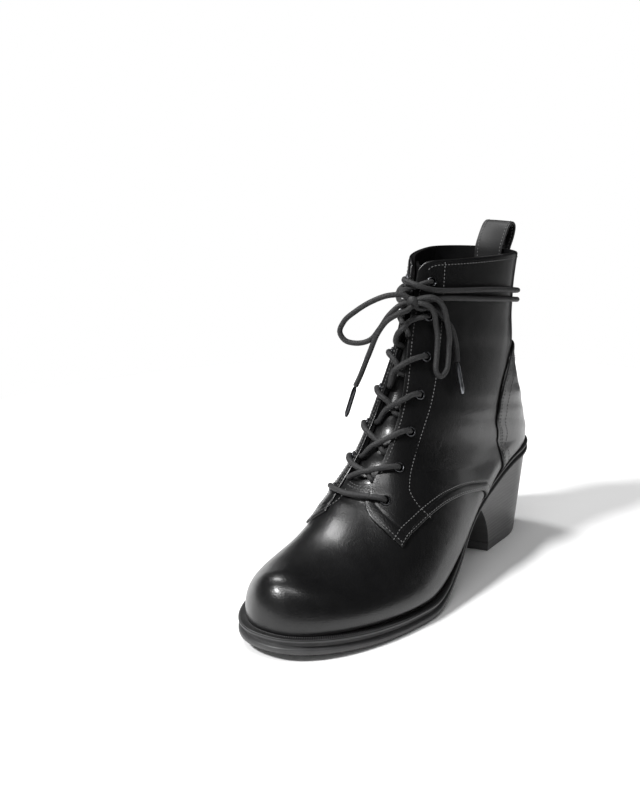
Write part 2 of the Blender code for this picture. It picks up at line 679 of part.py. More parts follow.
# laces: each route is station, turn round the shaft, and lift over the quarters in cord widths
RIDE = 2 * GAP + OVERLAY + LACE / 2
BESIDE_EYELET = 0.034
BAR = np.array([
    (0.590, 0.087, 0.00),
    (0.592, 0.040, 0.00),
    (0.594, -0.030, -0.25),
    (0.592, -0.105, 0.00),
    (0.590, -0.156, 0.00),
])
CROSSINGS = np.array([
    # upper eyelet, where the strand over it and the one under it end between the eyelets,
    # how much of the way to the quarter's edge they go, lift under the crossing
    (1, 0.50, 0.42, 0.62, -0.60),
    (2, 0.78, 0.55, 0.60, -0.98),
    (3, 0.80, 0.50, 0.55, -1.10),
    (4, 0.80, 0.45, 0.30, -0.60),
    (5, 0.72, 0.45, 0.90, -0.02),
])
OVER = 0.62
WRAP_UPPER = np.array([
    (0.048, -0.082, 0.05),
    (0.050, -0.040, 0.60),
    (0.054, 0.005, 1.12),
    (0.060, 0.050, 1.22),
    (0.064, 0.095, 0.75),
    (0.066, 0.150, 0.20),
    (0.066, 0.250, 0.03),
    (0.066, 0.334, 0.05),
    (0.069, 0.450, 0.08),
    (0.074, 0.620, 0.20),
    (0.081, 0.800, 0.16),
    (0.086, 1.000, 0.16),
    (0.081, 1.200, 0.16),
    (0.074, 1.380, 0.25),
    (0.072, 1.500, 0.80),
    (0.076, 1.640, 1.15),
    (0.084, 1.760, 0.60),
    (0.092, 1.860, 0.10),
    (0.094, 1.984, 0.30),
])
WRAP_LOWER = np.array([
    (0.051, 0.082, 0.05),
    (0.059, 0.035, 0.30),
    (0.067, -0.020, 0.30),
    (0.071, -0.070, 0.10),
    (0.071, -0.120, 0.08),
    (0.071, -0.200, 0.02),
    (0.077, -0.350, 0.05),
    (0.088, -0.500, 0.08),
    (0.093, -0.700, 0.14),
    (0.097, -0.850, 0.14),
    (0.100, -1.000, 0.14),
    (0.097, -1.200, 0.14),
    (0.091, -1.380, 0.18),
    (0.086, -1.570, 0.06),
    (0.083, -1.692, 0.00),
    (0.081, -1.790, 0.00),
    (0.083, -1.860, 0.00),
    (0.089, -1.926, 0.20),
])
KNOT = (0.094, 0.032, 0.66)
KNOT_SIZE = (1.30, 1.10, 1.40)
LOOP_RIGHT = np.array([
    (0.084, 0.068, 1.32),
    (0.081, 0.105, 1.72),
    (0.089, 0.140, 1.65),
    (0.107, 0.167, 1.42),
    (0.134, 0.186, 1.15),
    (0.160, 0.205, 0.80),
    (0.184, 0.213, 0.48),
    (0.206, 0.217, 0.45),
    (0.232, 0.216, 0.45),
    (0.247, 0.198, 0.45),
    (0.234, 0.178, 0.45),
    (0.204, 0.174, 0.45),
    (0.162, 0.166, 0.48),
    (0.134, 0.148, 0.72),
    (0.114, 0.128, 1.40),
    (0.100, 0.104, 1.66),
    (0.096, 0.082, 1.50),
])
END_RIGHT = np.array([
    (0.105, 0.076, 0.42),
    (0.102, 0.115, 0.35),
    (0.107, 0.150, 0.27),
    (0.122, 0.184, 0.20),
    (0.140, 0.215, 0.15),
    (0.165, 0.236, 0.10),
    (0.187, 0.248, 0.10),
    (0.212, 0.256, 0.10),
])
AGLET_RIGHT = np.array([
    (0.2145, 0.257, 0.10),
    (0.248, 0.274, 0.06),
    (0.280, 0.290, 0.06),
])
# the other half of the bow hangs clear: across, ahead and above the knot's middle, in cord widths
LOOP_LEFT = np.array([
    (-1.15, -0.75, 1.05),
    (-2.95, -1.95, 1.12),
    (-5.55, -2.85, 0.10),
    (-8.00, -3.70, -1.55),
    (-9.90, -4.40, -3.40),
    (-10.50, -4.60, -5.10),
    (-9.75, -4.35, -6.30),
    (-8.15, -3.80, -6.70),
    (-5.75, -2.90, -5.95),
    (-4.55, -2.50, -4.35),
    (-2.90, -1.90, -1.75),
    (-1.40, -0.75, -0.25),
])
END_LEFT = np.array([
    (-0.15, -1.15, -0.95),
    (-1.25, -2.55, -1.60),
    (-2.75, -3.15, -2.70),
    (-3.90, -3.55, -4.35),
    (-5.35, -4.05, -8.00),
    (-6.75, -4.55, -11.90),
    (-7.35, -4.75, -13.30),
])
AGLET_LEFT = np.array([
    (-7.42, -4.77, -13.46),
    (-8.10, -5.00, -15.90),
    (-8.80, -5.25, -18.40),
])


def evenly(points, count):
    """Points spaced evenly along a smooth curve through these."""
    run = np.r_[0, np.cumsum(np.linalg.norm(np.diff(points, axis=0), axis=1))]
    keyed = np.column_stack([run, points])
    fine = np.linspace(0, run[-1], 12 * len(points))
    curve = np.stack([smooth(keyed, c, fine) for c in (1, 2, 3)], -1)
    length = np.r_[0, np.cumsum(np.linalg.norm(np.diff(curve, axis=0), axis=1))]
    even = np.linspace(0, length[-1], count)
    return np.stack([np.interp(even, length, curve[:, c]) for c in range(3)], -1)


def over_upper(route, count):
    """Evenly spaced points along a route over the upper."""
    keyed = np.column_stack([np.arange(len(route)), route])
    fine = np.linspace(0, len(route) - 1, 6 * len(route))
    station, turn, lift = [smooth(keyed, c, fine) for c in (1, 2, 3)]
    girth = turn - 2 * np.sign(turn) * (abs(turn) > 1)
    points = last(station, girth) + outward(station, girth) * (RIDE + lift * LACE)[:, None]
    return evenly(points, count)


def strand(name, points, look, sides=6):
    """A round bar along these points."""
    run = np.gradient(points, axis=0)
    run /= np.linalg.norm(run, axis=1, keepdims=True)
    side = np.cross(run, (0.0, -1.0, 0.3))
    side /= np.linalg.norm(side, axis=1, keepdims=True)
    up = np.cross(side, run)
    turn = np.linspace(0, 2 * np.pi, sides, endpoint=False)[:, None]
    ring = np.cos(turn)[None] * side[:, None] + np.sin(turn)[None] * up[:, None]
    return loft(name, points[:, None] + ring * LACE / 2, look, True)


def cord_tube(name, points, look):
    """A free cord along these points."""
    data = bpy.data.curves.new(name, "CURVE")
    data.dimensions = "3D"
    data.bevel_depth = LACE / 2
    data.bevel_resolution = 2
    data.use_fill_caps = True
    data.materials.append(look)
    spline = data.splines.new("POLY")
    spline.points.add(len(points) - 1)
    for knot, point in zip(spline.points, points):
        knot.co = (*point, 1)
    made = bpy.data.objects.new(name, data)
    bpy.context.scene.collection.objects.link(made)
    return made


lace_bar = strand("lace_bar", over_upper(BAR, 8), cord)
for number, over_end, under_end, way, low in CROSSINGS:
    upper_eyelet, lower_eyelet = EYELETS[int(number)], EYELETS[int(number) - 1]
    drop = lower_eyelet[0] - upper_eyelet[0]
    parts = []
    for side, end_part, rise in ((1, over_end, OVER), (-1, under_end, 0.0)):
        column = 1 if side > 0 else 2
        begin = upper_eyelet[column] - BESIDE_EYELET
        at = upper_eyelet[0] + drop * np.array([0.03, 0.25 * end_part, 0.6 * end_part, end_part])
        near_edge = smooth(THROAT, column, at[1])
        far_edge = smooth(THROAT, 3 - column, at[3])
        route = np.array([
            (at[0], side * begin, 0.0),
            (at[1], side * near_edge, 0.03),
            (at[2], 0.0, low + rise),
            (at[3], -side * way * far_edge, low),
        ])
        name = f"lace_crossing_{int(number) + 1}" if side > 0 else "under"
        parts.append(strand(name, over_upper(route, 8), cord))
    over, under = parts
    under.hide_render = True
    under.display_type = "WIRE"
    modifier = over.modifiers.new("join", "BOOLEAN")
    modifier.operation = "UNION"
    modifier.solver = "EXACT"
    modifier.object = under
cord_tube("lace_wrap_upper", over_upper(WRAP_UPPER, 24), cord)
cord_tube("lace_wrap_lower", over_upper(WRAP_LOWER, 23), cord)
knot_middle = last(KNOT[0], KNOT[1]) + outward(KNOT[0], KNOT[1]) * (RIDE + KNOT[2] * LACE)
sections = []
for tilt in np.linspace(-np.pi / 2, np.pi / 2, 7):
    turn = np.linspace(0, 2 * np.pi, 10, endpoint=False)
    ball = np.stack([np.cos(tilt) * np.cos(turn), np.cos(tilt) * np.sin(turn), np.sin(tilt) + 0 * turn], -1)
    sections.append(knot_middle + ball * LACE * KNOT_SIZE)
loft("lace_knot", np.array(sections)[::-1], cord)
cord_tube("lace_loop_right", over_upper(LOOP_RIGHT, 12), cord)
cord_tube("lace_end_right", over_upper(END_RIGHT, 6), cord)
cord_tube("lace_aglet_right", over_upper(AGLET_RIGHT, 3), metal)
cord_tube("lace_loop_left", evenly(knot_middle + LOOP_LEFT * LACE, 14), cord)
cord_tube("lace_end_left", evenly(knot_middle + END_LEFT * LACE, 7), cord)
cord_tube("lace_aglet_left", evenly(knot_middle + AGLET_LEFT * LACE, 3), metal)

# everything stands on the floor under one empty
boot = bpy.data.objects.new("boot", None)
boot.location = (0, ORIGIN_AHEAD, 0)
bpy.context.scene.collection.objects.link(boot)
for piece in list(bpy.data.objects):
    if piece is not boot:
        piece.parent = boot
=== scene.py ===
"""Looks of the lace-up ankle boot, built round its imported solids. Metres, +Z up, toe along -Y."""
import bmesh
import bpy
import numpy as np
from mathutils import Matrix


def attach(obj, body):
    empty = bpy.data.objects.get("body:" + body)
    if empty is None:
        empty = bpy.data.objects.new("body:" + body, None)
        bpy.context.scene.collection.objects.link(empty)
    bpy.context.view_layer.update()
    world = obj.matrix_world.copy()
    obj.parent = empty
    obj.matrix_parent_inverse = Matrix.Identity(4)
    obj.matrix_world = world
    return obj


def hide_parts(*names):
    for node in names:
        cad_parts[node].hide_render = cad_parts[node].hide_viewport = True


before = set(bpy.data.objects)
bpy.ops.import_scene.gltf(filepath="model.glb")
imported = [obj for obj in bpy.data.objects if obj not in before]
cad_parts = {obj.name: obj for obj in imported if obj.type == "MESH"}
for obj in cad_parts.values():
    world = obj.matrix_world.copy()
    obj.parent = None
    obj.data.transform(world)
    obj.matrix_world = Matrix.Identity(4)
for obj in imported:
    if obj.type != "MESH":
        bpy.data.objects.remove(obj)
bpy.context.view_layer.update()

# sizes and tables of the CAD source; the counter's edge is a little more even here
LENGTH = 0.262
BALL_WIDTH = 0.0968
HEEL_SEAT = 0.0607
SOLE = 0.0085
WAIST_SOLE = 0.0066
TOE_SPRING = 0.0047
HEIGHT = 0.184
WELT = 0.0042
WELT_THICK = 0.0020
GAP = 0.0003
WALL = 0.0018
OVERLAY = 0.0011
LIFT_THICK = 0.0055
ORIGIN_AHEAD = 0.040
HEEL_CAP = 0.14
HEEL_ROUND = 2.25
TOE_CAP = 0.383
TOE_ROUND = 2.32
TOE_TOP_CAP = 0.0726
TOE_TOP_ROUND = 2.4
FOOTPRINT = np.array([
    (0.00, 0.298, 0.319), (0.12, 0.312, 0.326), (0.24, 0.324, 0.307), (0.38, 0.343, 0.285), (0.52, 0.440, 0.370),
    (0.64, 0.501, 0.466), (0.74, 0.494, 0.488), (0.84, 0.482, 0.474), (1.00, 0.444, 0.438),
])
SEAT = np.array([
    (0.00, 1.000, 0.00), (0.10, 0.965, 0.00), (0.20, 0.880, 0.00), (0.30, 0.710, 0.00), (0.40, 0.470, 0.00),
    (0.50, 0.230, 0.00), (0.59, 0.055, 0.00), (0.66, 0.000, 0.00), (0.73, 0.000, 0.00), (0.80, 0.000, 0.13),
    (0.90, 0.000, 0.50), (1.00, 0.000, 1.00),
])
HEEL_STATION = 0.42
TOE_STATION = 0.60
FRONT_PART = 0.5
NEAR = 0.0004
RIM_BLEND = 0.012
SECTIONS = np.array([
    (0.00, 0.440, 1.000, 0.127, 1.000, 0.292, 0.275, 0.76, 1.50, 1.80),
    (0.07, 0.460, 0.900, 0.130, 0.812, 0.279, 0.273, 0.75, 1.50, 1.80),
    (0.14, 0.484, 0.802, 0.118, 0.616, 0.277, 0.275, 0.74, 1.52, 1.82),
    (0.21, 0.510, 0.711, 0.098, 0.421, 0.281, 0.282, 0.72, 1.64, 1.90),
    (0.28, 0.537, 0.620, 0.060, 0.240, 0.295, 0.296, 0.69, 1.90, 2.10),
    (0.35, 0.563, 0.538, 0.034, 0.103, 0.296, 0.300, 0.67, 2.20, 2.30),
    (0.42, 0.597, 0.468, 0.016, 0.000, 0.296, 0.297, 0.68, 2.35, 2.40),
    (0.50, 0.631, 0.398, 0.165, 0.000, 0.322, 0.317, 0.71, 2.38, 2.50),
    (0.58, 0.669, 0.339, 0.328, 0.000, 0.391, 0.361, 0.75, 2.25, 2.60),
    (0.66, 0.718, 0.280, 0.496, 0.000, 0.455, 0.418, 0.80, 1.98, 2.60),
    (0.74, 0.780, 0.233, 0.657, 0.000, 0.486, 0.455, 0.83, 1.82, 2.60),
    (0.83, 0.853, 0.212, 0.797, 0.000, 0.466, 0.457, 0.84, 1.78, 2.60),
    (0.92, 0.926, 0.212, 0.926, 0.000, 0.439, 0.430, 0.84, 1.80, 2.60),
    (1.00, 0.984, 0.222, 0.984, 0.000, 0.400, 0.390, 0.84, 1.85, 2.60),
])
THROAT_END = 0.545
THROAT = np.array([
    (0.00, 0.024, 0.085), (0.05, 0.020, 0.060), (0.11, 0.022, 0.048), (0.18, 0.045, 0.040), (0.24, 0.063, 0.045),
    (0.30, 0.067, 0.060), (0.36, 0.063, 0.071), (0.42, 0.061, 0.080), (0.49, 0.051, 0.094), (0.56, 0.043, 0.112),
    (0.60, 0.043, 0.118), (1.00, 0.043, 0.118),
])
QUARTER_EDGE = np.array([
    (0.575, 0.041), (0.597, 0.043), (0.620, 0.062), (0.645, 0.104), (0.670, 0.179), (0.688, 0.255), (0.672, 0.256),
    (0.655, 0.262), (0.618, 0.300), (0.592, 0.345), (0.578, 0.385), (0.568, 0.440), (0.566, 0.520), (0.572, 0.640),
    (0.582, 0.800),
])
COUNTER_EDGE = np.array([
    (0.166, 0.900), (0.168, 0.740), (0.174, 0.630), (0.190, 0.545), (0.215, 0.490), (0.270, 0.452), (0.350, 0.454),
    (0.382, 0.461), (0.418, 0.466), (0.454, 0.493), (0.497, 0.609), (0.527, 0.860),
])
EYELETS = np.array([
    (0.590, 0.121, 0.190), (0.485, 0.133, 0.172), (0.380, 0.134, 0.150), (0.288, 0.142, 0.135), (0.205, 0.148, 0.130),
    (0.118, 0.130, 0.125), (0.048, 0.117, 0.120),
])
LACE = 0.0036
HEEL_INSET = 0.0050
HEEL_LEAN = 0.0022
HEEL_TOP_INSET = 0.0014
HEEL_LENGTH = ((0.0685, 0.0885), (0.0790, 0.0960))
BREAST_HOLLOW = 0.0050


def smooth(table, column, x, level=False):
    xs, ys = table[:, 0], table[:, column]
    h = np.diff(xs)
    d = np.diff(ys) / h
    slope = np.r_[d[0], (d[:-1] * h[1:] + d[1:] * h[:-1]) / (h[1:] + h[:-1]), d[-1]]
    if level:
        flattest = 3 * np.minimum(abs(d[:-1]), abs(d[1:]))
        inner = np.sign(slope[1:-1]) * np.minimum(abs(slope[1:-1]), flattest)
        slope[1:-1] = np.where(d[:-1] * d[1:] <= 0, 0, inner)
    x = np.clip(np.asarray(x, float), xs[0], xs[-1])
    i = np.clip(np.searchsorted(xs, x, side="right") - 1, 0, len(xs) - 2)
    t = (x - xs[i]) / h[i]
    rise = (3 * t**2 - 2 * t**3) * (ys[i + 1] - ys[i])
    bend = (t**3 - 2 * t**2 + t) * h[i] * slope[i] + (t**3 - t**2) * h[i] * slope[i + 1]
    return ys[i] + rise + bend


def round_end(reach, cap, power):
    return (1 - np.clip(1 - reach / cap, 0, 1) ** power) ** (1 / power)


def seat(share):
    rise = smooth(SEAT, 1, share, True) * (HEEL_SEAT - SOLE)
    return SOLE + rise + smooth(SEAT, 2, share, True) * TOE_SPRING


def half_widths(share, inset=0.0):
    margin = inset / LENGTH
    share = np.clip(share, margin, 1 - margin)
    heel = round_end(share - margin, HEEL_CAP, HEEL_ROUND)
    toe = round_end(1 - margin - share, TOE_CAP, TOE_ROUND)
    return [(smooth(FOOTPRINT, c, share) * BALL_WIDTH - inset) * heel * toe for c in (1, 2)]


def last_sharp(station, girth):
    u, g = np.broadcast_arrays(np.asarray(station, float), np.asarray(girth, float))
    row = [smooth(SECTIONS, c, u) for c in range(SECTIONS.shape[1])]
    start, end = WELT / LENGTH, 1 - WELT / LENGTH
    front = np.clip(row[1], start, end)
    back = np.clip(row[3], start, end)
    opened = u > HEEL_STATION
    toe_top = np.where(u > TOE_STATION, round_end(end - front, TOE_TOP_CAP, TOE_TOP_ROUND), 1)
    z_front = seat(front) + (row[2] * HEIGHT - seat(front)) * toe_top + GAP
    z_back = seat(back) + np.where(opened, 0, row[4]) * (HEIGHT - seat(back)) + GAP
    outer, inner = half_widths(back, WELT)
    edge = np.where(g > 0, outer, inner)
    toe = np.where(opened, round_end(end - back, TOE_CAP, TOE_ROUND), 1)
    wide = np.maximum(np.where(g > 0, row[5], row[6]) * BALL_WIDTH * toe, edge + 1e-9)
    widest, n, m = row[7], row[8], row[9]
    shut = np.where(opened, np.clip(1 - (edge / wide) ** m, 0, 1), 1)
    arc = np.clip(abs(g) / FRONT_PART, 0, 1) * np.pi / 2
    turn = np.clip((abs(g) - FRONT_PART) / (1 - FRONT_PART), 0, 1) * np.arcsin(np.sqrt(shut))
    part = (np.sin(turn) ** 2 / np.maximum(shut, 1e-9)) ** (1 / m)
    in_front = abs(g) <= FRONT_PART
    down = np.where(in_front, widest * (1 - np.cos(arc) ** (2 / n)), widest + (1 - widest) * part)
    behind = np.clip(1 - shut * part**m, 0, 1) ** (1 / m)
    out = wide * np.where(in_front, np.sin(arc) ** (2 / n), behind)
    y = -LENGTH * (front + down * (back - front)) + ORIGIN_AHEAD
    return np.stack([np.sign(g) * out, y, z_front + down * (z_back - z_front)], -1)


BLEND_SPAN, BLEND_FADE = 0.05, 0.25


def last(station, girth):
    """The upper's surface, its bend across the heel station eased away from the welt and the back line."""
    u, g = np.broadcast_arrays(np.asarray(station, float), np.asarray(girth, float))
    points = last_sharp(u, g)
    near = abs(u - HEEL_STATION) < BLEND_SPAN
    if near.any():
        un, gn = u[near], g[near]
        reach = 0.5 * (BLEND_SPAN - abs(un - HEEL_STATION))
        eased = sum(last_sharp(un + reach * k, gn) for k in np.linspace(-1, 1, 9)) / 9
        weight = np.clip((0.96 - abs(gn)) / BLEND_FADE, 0, 1)[:, None]
        points[near] += weight * (eased - points[near])
    return points


def share_of(points):
    return np.clip((ORIGIN_AHEAD - points[..., 1]) / LENGTH, 0, 1)


def rim_direction(points):
    x, share = points[..., 0], share_of(points)
    column = np.where(x > 0, 1, 2)
    width, wider = [np.where(column == 1, smooth(FOOTPRINT, 1, at), smooth(FOOTPRINT, 2, at)) * BALL_WIDTH
                    for at in (share, share + 0.004)]
    slope = (wider - width) / (0.004 * LENGTH)
    toe = share > 0.5
    power = np.where(toe, TOE_ROUND, HEEL_ROUND)
    cap = np.where(toe, TOE_CAP, HEEL_CAP)
    reach = np.clip(1 - np.where(toe, 1 - share, share) / cap, 0, 1)
    part = np.clip(abs(x) / width, 0, 1.2)
    across = np.sign(x) * part ** (power - 1) / width
    along = part**power * slope / width + np.where(toe, -1, 1) * reach ** (power - 1) / (cap * LENGTH)
    n = np.stack([across, along, 0 * x], -1)
    return n / np.maximum(np.linalg.norm(n, axis=-1, keepdims=True), 1e-15)


def near_welt(points):
    rise = points[..., 2] - seat(share_of(points)) - GAP
    return np.clip(1 - rise / RIM_BLEND, 0, 1)[..., None] ** 2


def outward(station, girth):
    u, g = np.broadcast_arrays(np.asarray(station, float), np.asarray(girth, float))
    points = last(u, g)
    u = np.where(abs(u - HEEL_STATION) < 2 * NEAR, HEEL_STATION - 2 * NEAR, np.clip(u, NEAR, 0.994))
    along = last(u + NEAR, g) - last(u - NEAR, g)
    round_ = last(u, np.clip(g + 2 * NEAR, -1, 1)) - last(u, np.clip(g - 2 * NEAR, -1, 1))
    n = np.cross(along, round_)
    n /= np.maximum(np.linalg.norm(n, axis=-1, keepdims=True), 1e-15)
    n += (rim_direction(points) - n) * near_welt(points)
    return n / np.maximum(np.linalg.norm(n, axis=-1, keepdims=True), 1e-15)


def layer(station, girth, offset):
    points = last(station, girth)
    moved = points + outward(station, girth) * np.asarray(offset)[..., None]
    rise = seat(share_of(moved)) - seat(share_of(points))
    moved[..., 2] += rise * near_welt(points)[..., 0]
    return moved


# camera: the photograph's direction and distance, shifted onto the one boot
AZIMUTH, ELEVATION = np.radians(35.2241), np.radians(14.7573)
CAMERA_AT = (0.3258, -0.6724 + ORIGIN_AHEAD, 0.2682)
FOCAL_PIXELS, PHOTO_WIDTH = 1149.93, 640
back = np.array([np.sin(AZIMUTH) * np.cos(ELEVATION), -np.cos(AZIMUTH) * np.cos(ELEVATION), np.sin(ELEVATION)])
right = np.array([np.cos(AZIMUTH), np.sin(AZIMUTH), 0.0])
camera = bpy.data.objects.new("camera", bpy.data.cameras.new("camera"))
bpy.context.scene.collection.objects.link(camera)
pose = np.eye(4)
pose[:3, 0], pose[:3, 1], pose[:3, 2], pose[:3, 3] = right, np.cross(back, right), back, CAMERA_AT
camera.matrix_world = Matrix(pose.tolist())
camera.data.sensor_fit = "HORIZONTAL"
camera.data.sensor_width = 36
camera.data.lens = 36 * FOCAL_PIXELS / PHOTO_WIDTH
camera.data.clip_start = 0.05
bpy.context.scene.camera = camera
bpy.context.scene.view_settings.view_transform = "Standard"


def frame_at(normal):
    side = np.cross(normal, (0, 0, 1))
    side /= np.linalg.norm(side)
    return side, np.cross(normal, side)


# laces: station, turn round the shaft, and lift over the quarters in cord widths
RIDE = 2 * GAP + OVERLAY + LACE / 2
BAR = np.array([
    (0.590, 0.121, -0.75), (0.590, 0.112, -0.10), (0.590, 0.087, 0.06), (0.592, 0.040, 0.00), (0.594, -0.030, -0.25),
    (0.592, -0.105, 0.00), (0.590, -0.156, 0.06), (0.590, -0.180, -0.10), (0.590, -0.190, -0.75),
])
CROSSINGS = np.array([
    (1, 0.50, 0.42, 0.62, -0.60), (2, 0.78, 0.55, 0.60, -0.98), (3, 0.80, 0.50, 0.55, -1.10),
    (4, 0.80, 0.45, 0.30, -0.60), (5, 0.72, 0.45, 0.90, -0.02),
])
CORD = 0.0031
OVER = 0.62
BESIDE_EYELET = 0.034
WRAP_UPPER = np.array([
    (0.048, -0.120, -0.75), (0.048, -0.108, -0.10), (0.048, -0.082, 0.05), (0.050, -0.040, 0.60), (0.054, 0.005, 1.12),
    (0.060, 0.050, 1.22), (0.064, 0.095, 0.75), (0.066, 0.150, 0.20), (0.066, 0.250, 0.03), (0.066, 0.334, 0.05),
    (0.069, 0.450, 0.08), (0.074, 0.620, 0.20), (0.081, 0.800, 0.16), (0.086, 1.000, 0.16), (0.081, 1.200, 0.16),
    (0.074, 1.380, 0.25), (0.072, 1.500, 0.80), (0.076, 1.640, 1.15), (0.084, 1.760, 0.60), (0.092, 1.860, 0.10),
    (0.094, 1.984, 0.30),
])
WRAP_LOWER = np.array([
    (0.048, 0.117, -0.75), (0.049, 0.105, -0.10), (0.051, 0.082, 0.05), (0.059, 0.035, 0.30), (0.067, -0.020, 0.30),
    (0.071, -0.070, 0.10), (0.071, -0.120, 0.08), (0.071, -0.200, 0.02), (0.077, -0.350, 0.05), (0.088, -0.500, 0.08),
    (0.093, -0.700, 0.14), (0.097, -0.850, 0.14), (0.100, -1.000, 0.14), (0.097, -1.200, 0.14), (0.091, -1.380, 0.18),
    (0.086, -1.570, 0.06), (0.083, -1.692, 0.00), (0.081, -1.790, 0.00), (0.083, -1.860, 0.00), (0.089, -1.926, 0.20),
])
KNOT = (0.094, 0.032, 0.66)
LOOP_RIGHT = np.array([
    (0.084, 0.068, 1.32), (0.081, 0.105, 1.72), (0.089, 0.140, 1.65), (0.107, 0.167, 1.42), (0.134, 0.186, 1.15),
    (0.160, 0.205, 0.80), (0.184, 0.213, 0.48), (0.206, 0.217, 0.45), (0.232, 0.216, 0.45), (0.247, 0.198, 0.45),
    (0.234, 0.178, 0.45), (0.204, 0.174, 0.45), (0.162, 0.166, 0.48), (0.134, 0.148, 0.72), (0.114, 0.128, 1.40),
    (0.100, 0.104, 1.66), (0.096, 0.082, 1.50),
])
END_RIGHT = np.array([
    (0.105, 0.076, 0.42), (0.102, 0.115, 0.35), (0.107, 0.150, 0.27), (0.122, 0.184, 0.20), (0.140, 0.215, 0.15),
    (0.165, 0.236, 0.10), (0.187, 0.248, 0.10), (0.212, 0.256, 0.10),
])
AGLET_RIGHT = np.array([(0.2145, 0.257, 0.10), (0.248, 0.274, 0.06), (0.280, 0.290, 0.06)])
LOOP_LEFT = np.array([
    (-1.15, -0.75, 1.05), (-2.95, -1.95, 1.12), (-5.55, -2.85, 0.10), (-8.00, -3.70, -1.55), (-9.90, -4.40, -3.40),
    (-10.50, -4.60, -5.10), (-9.75, -4.35, -6.30), (-8.15, -3.80, -6.70), (-5.75, -2.90, -5.95), (-4.55, -2.50, -4.35),
    (-2.90, -1.90, -1.75), (-1.40, -0.75, -0.25),
])
END_LEFT = np.array([
    (-0.15, -1.15, -0.95), (-1.25, -2.55, -1.60), (-2.75, -3.15, -2.70), (-3.90, -3.55, -4.35), (-5.35, -4.05, -8.00),
    (-6.75, -4.55, -11.90), (-7.35, -4.75, -13.30),
])
AGLET_LEFT = np.array([(-7.42, -4.77, -13.46), (-8.10, -5.00, -15.90), (-8.80, -5.25, -18.40)])


def evenly(points, count):
    run = np.r_[0, np.cumsum(np.linalg.norm(np.diff(points, axis=0), axis=1))]
    keyed = np.column_stack([run, points])
    fine = np.linspace(0, run[-1], 12 * len(points))
    curve = np.stack([smooth(keyed, c, fine) for c in (1, 2, 3)], -1)
    length = np.r_[0, np.cumsum(np.linalg.norm(np.diff(curve, axis=0), axis=1))]
    even = np.linspace(0, length[-1], count)
    return np.stack([np.interp(even, length, curve[:, c]) for c in range(3)], -1)


def over_upper(route, count):
    keyed = np.column_stack([np.arange(len(route)), route])
    fine = np.linspace(0, len(route) - 1, 6 * len(route))
    station, turn, lift = [smooth(keyed, c, fine) for c in (1, 2, 3)]
    girth = turn - 2 * np.sign(turn) * (abs(turn) > 1)
    points = last(station, girth) + outward(station, girth) * (RIDE + lift * LACE)[:, None]
    return evenly(points, count)


# materials
def material(name, colour, roughness, metallic=0.0, coat=0.0, coat_roughness=0.1, specular=0.5, sheen=0.0):
    made = bpy.data.materials.new(name)
    made.use_nodes = True
    tree = made.node_tree
    shader = tree.nodes["Principled BSDF"]
    shader.inputs["Base Color"].default_value = (*colour, 1)
    shader.inputs["Roughness"].default_value = roughness
    shader.inputs["Metallic"].default_value = metallic
    shader.inputs["Coat Weight"].default_value = coat
    shader.inputs["Coat Roughness"].default_value = coat_roughness
    shader.inputs["Specular IOR Level"].default_value = specular
    shader.inputs["Sheen Weight"].default_value = sheen
    return made, tree, shader


def node(tree, kind, **sockets):
    made = tree.nodes.new(kind)
    for name, value in sockets.items():
        made.inputs[name.replace("_", " ")].default_value = value
    return made


def spread(tree, source, low, high):
    """The source's value carried from 0..1 to low..high."""
    ramp = node(tree, "ShaderNodeMapRange", To_Min=low, To_Max=high)
    tree.links.new(source, ramp.inputs["Value"])
    return ramp.outputs["Result"]


def tinted(tree, shader, source, dark, light):
    ramp = tree.nodes.new("ShaderNodeValToRGB")
    ramp.color_ramp.elements[0].color = (*dark, 1)
    ramp.color_ramp.elements[1].color = (*light, 1)
    ramp.color_ramp.elements[0].position = 0.3
    ramp.color_ramp.elements[1].position = 0.75
    tree.links.new(source, ramp.inputs["Fac"])
    tree.links.new(ramp.outputs["Color"], shader.inputs["Base Color"])


def bumped(tree, shader, layers):
    """Bumps in a row; each layer is a height output, a strength and a distance."""
    normal = None
    for height, strength, distance in layers:
        bump = node(tree, "ShaderNodeBump", Strength=strength, Distance=distance)
        tree.links.new(height, bump.inputs["Height"])
        if normal is not None:
            tree.links.new(normal, bump.inputs["Normal"])
        normal = bump.outputs["Normal"]
    tree.links.new(normal, shader.inputs["Normal"])


def noise(tree, scale, detail=3.0, stretch=(1, 1, 1), roughness=0.5):
    where = tree.nodes.new("ShaderNodeTexCoord")
    placed = tree.nodes.new("ShaderNodeMapping")
    placed.inputs["Scale"].default_value = stretch
    tree.links.new(where.outputs["Object"], placed.inputs["Vector"])
    made = node(tree, "ShaderNodeTexNoise", Scale=scale, Detail=detail, Roughness=roughness)
    tree.links.new(placed.outputs["Vector"], made.inputs["Vector"])
    return made.outputs["Fac"]


def cells(tree, scale):
    where = tree.nodes.new("ShaderNodeTexCoord")
    made = node(tree, "ShaderNodeTexVoronoi", Scale=scale)
    made.feature = "SMOOTH_F1"
    tree.links.new(where.outputs["Object"], made.inputs["Vector"])
    return made.outputs["Distance"]


def polished(name, colour, light, roughness, coat, coat_roughness, grain):
    made, tree, shader = material(name, colour, roughness, coat=coat, coat_roughness=coat_roughness)
    tinted(tree, shader, noise(tree, 55), colour, light)
    tree.links.new(spread(tree, noise(tree, 160, 4), roughness - 0.05, roughness + 0.09),
                   shader.inputs["Roughness"])
    bumped(tree, shader, [(noise(tree, 45, 2), 0.5, 0.0005), (cells(tree, 1500), grain, 0.00012),
                          (noise(tree, 2600, 2), grain, 0.00008)])
    return made


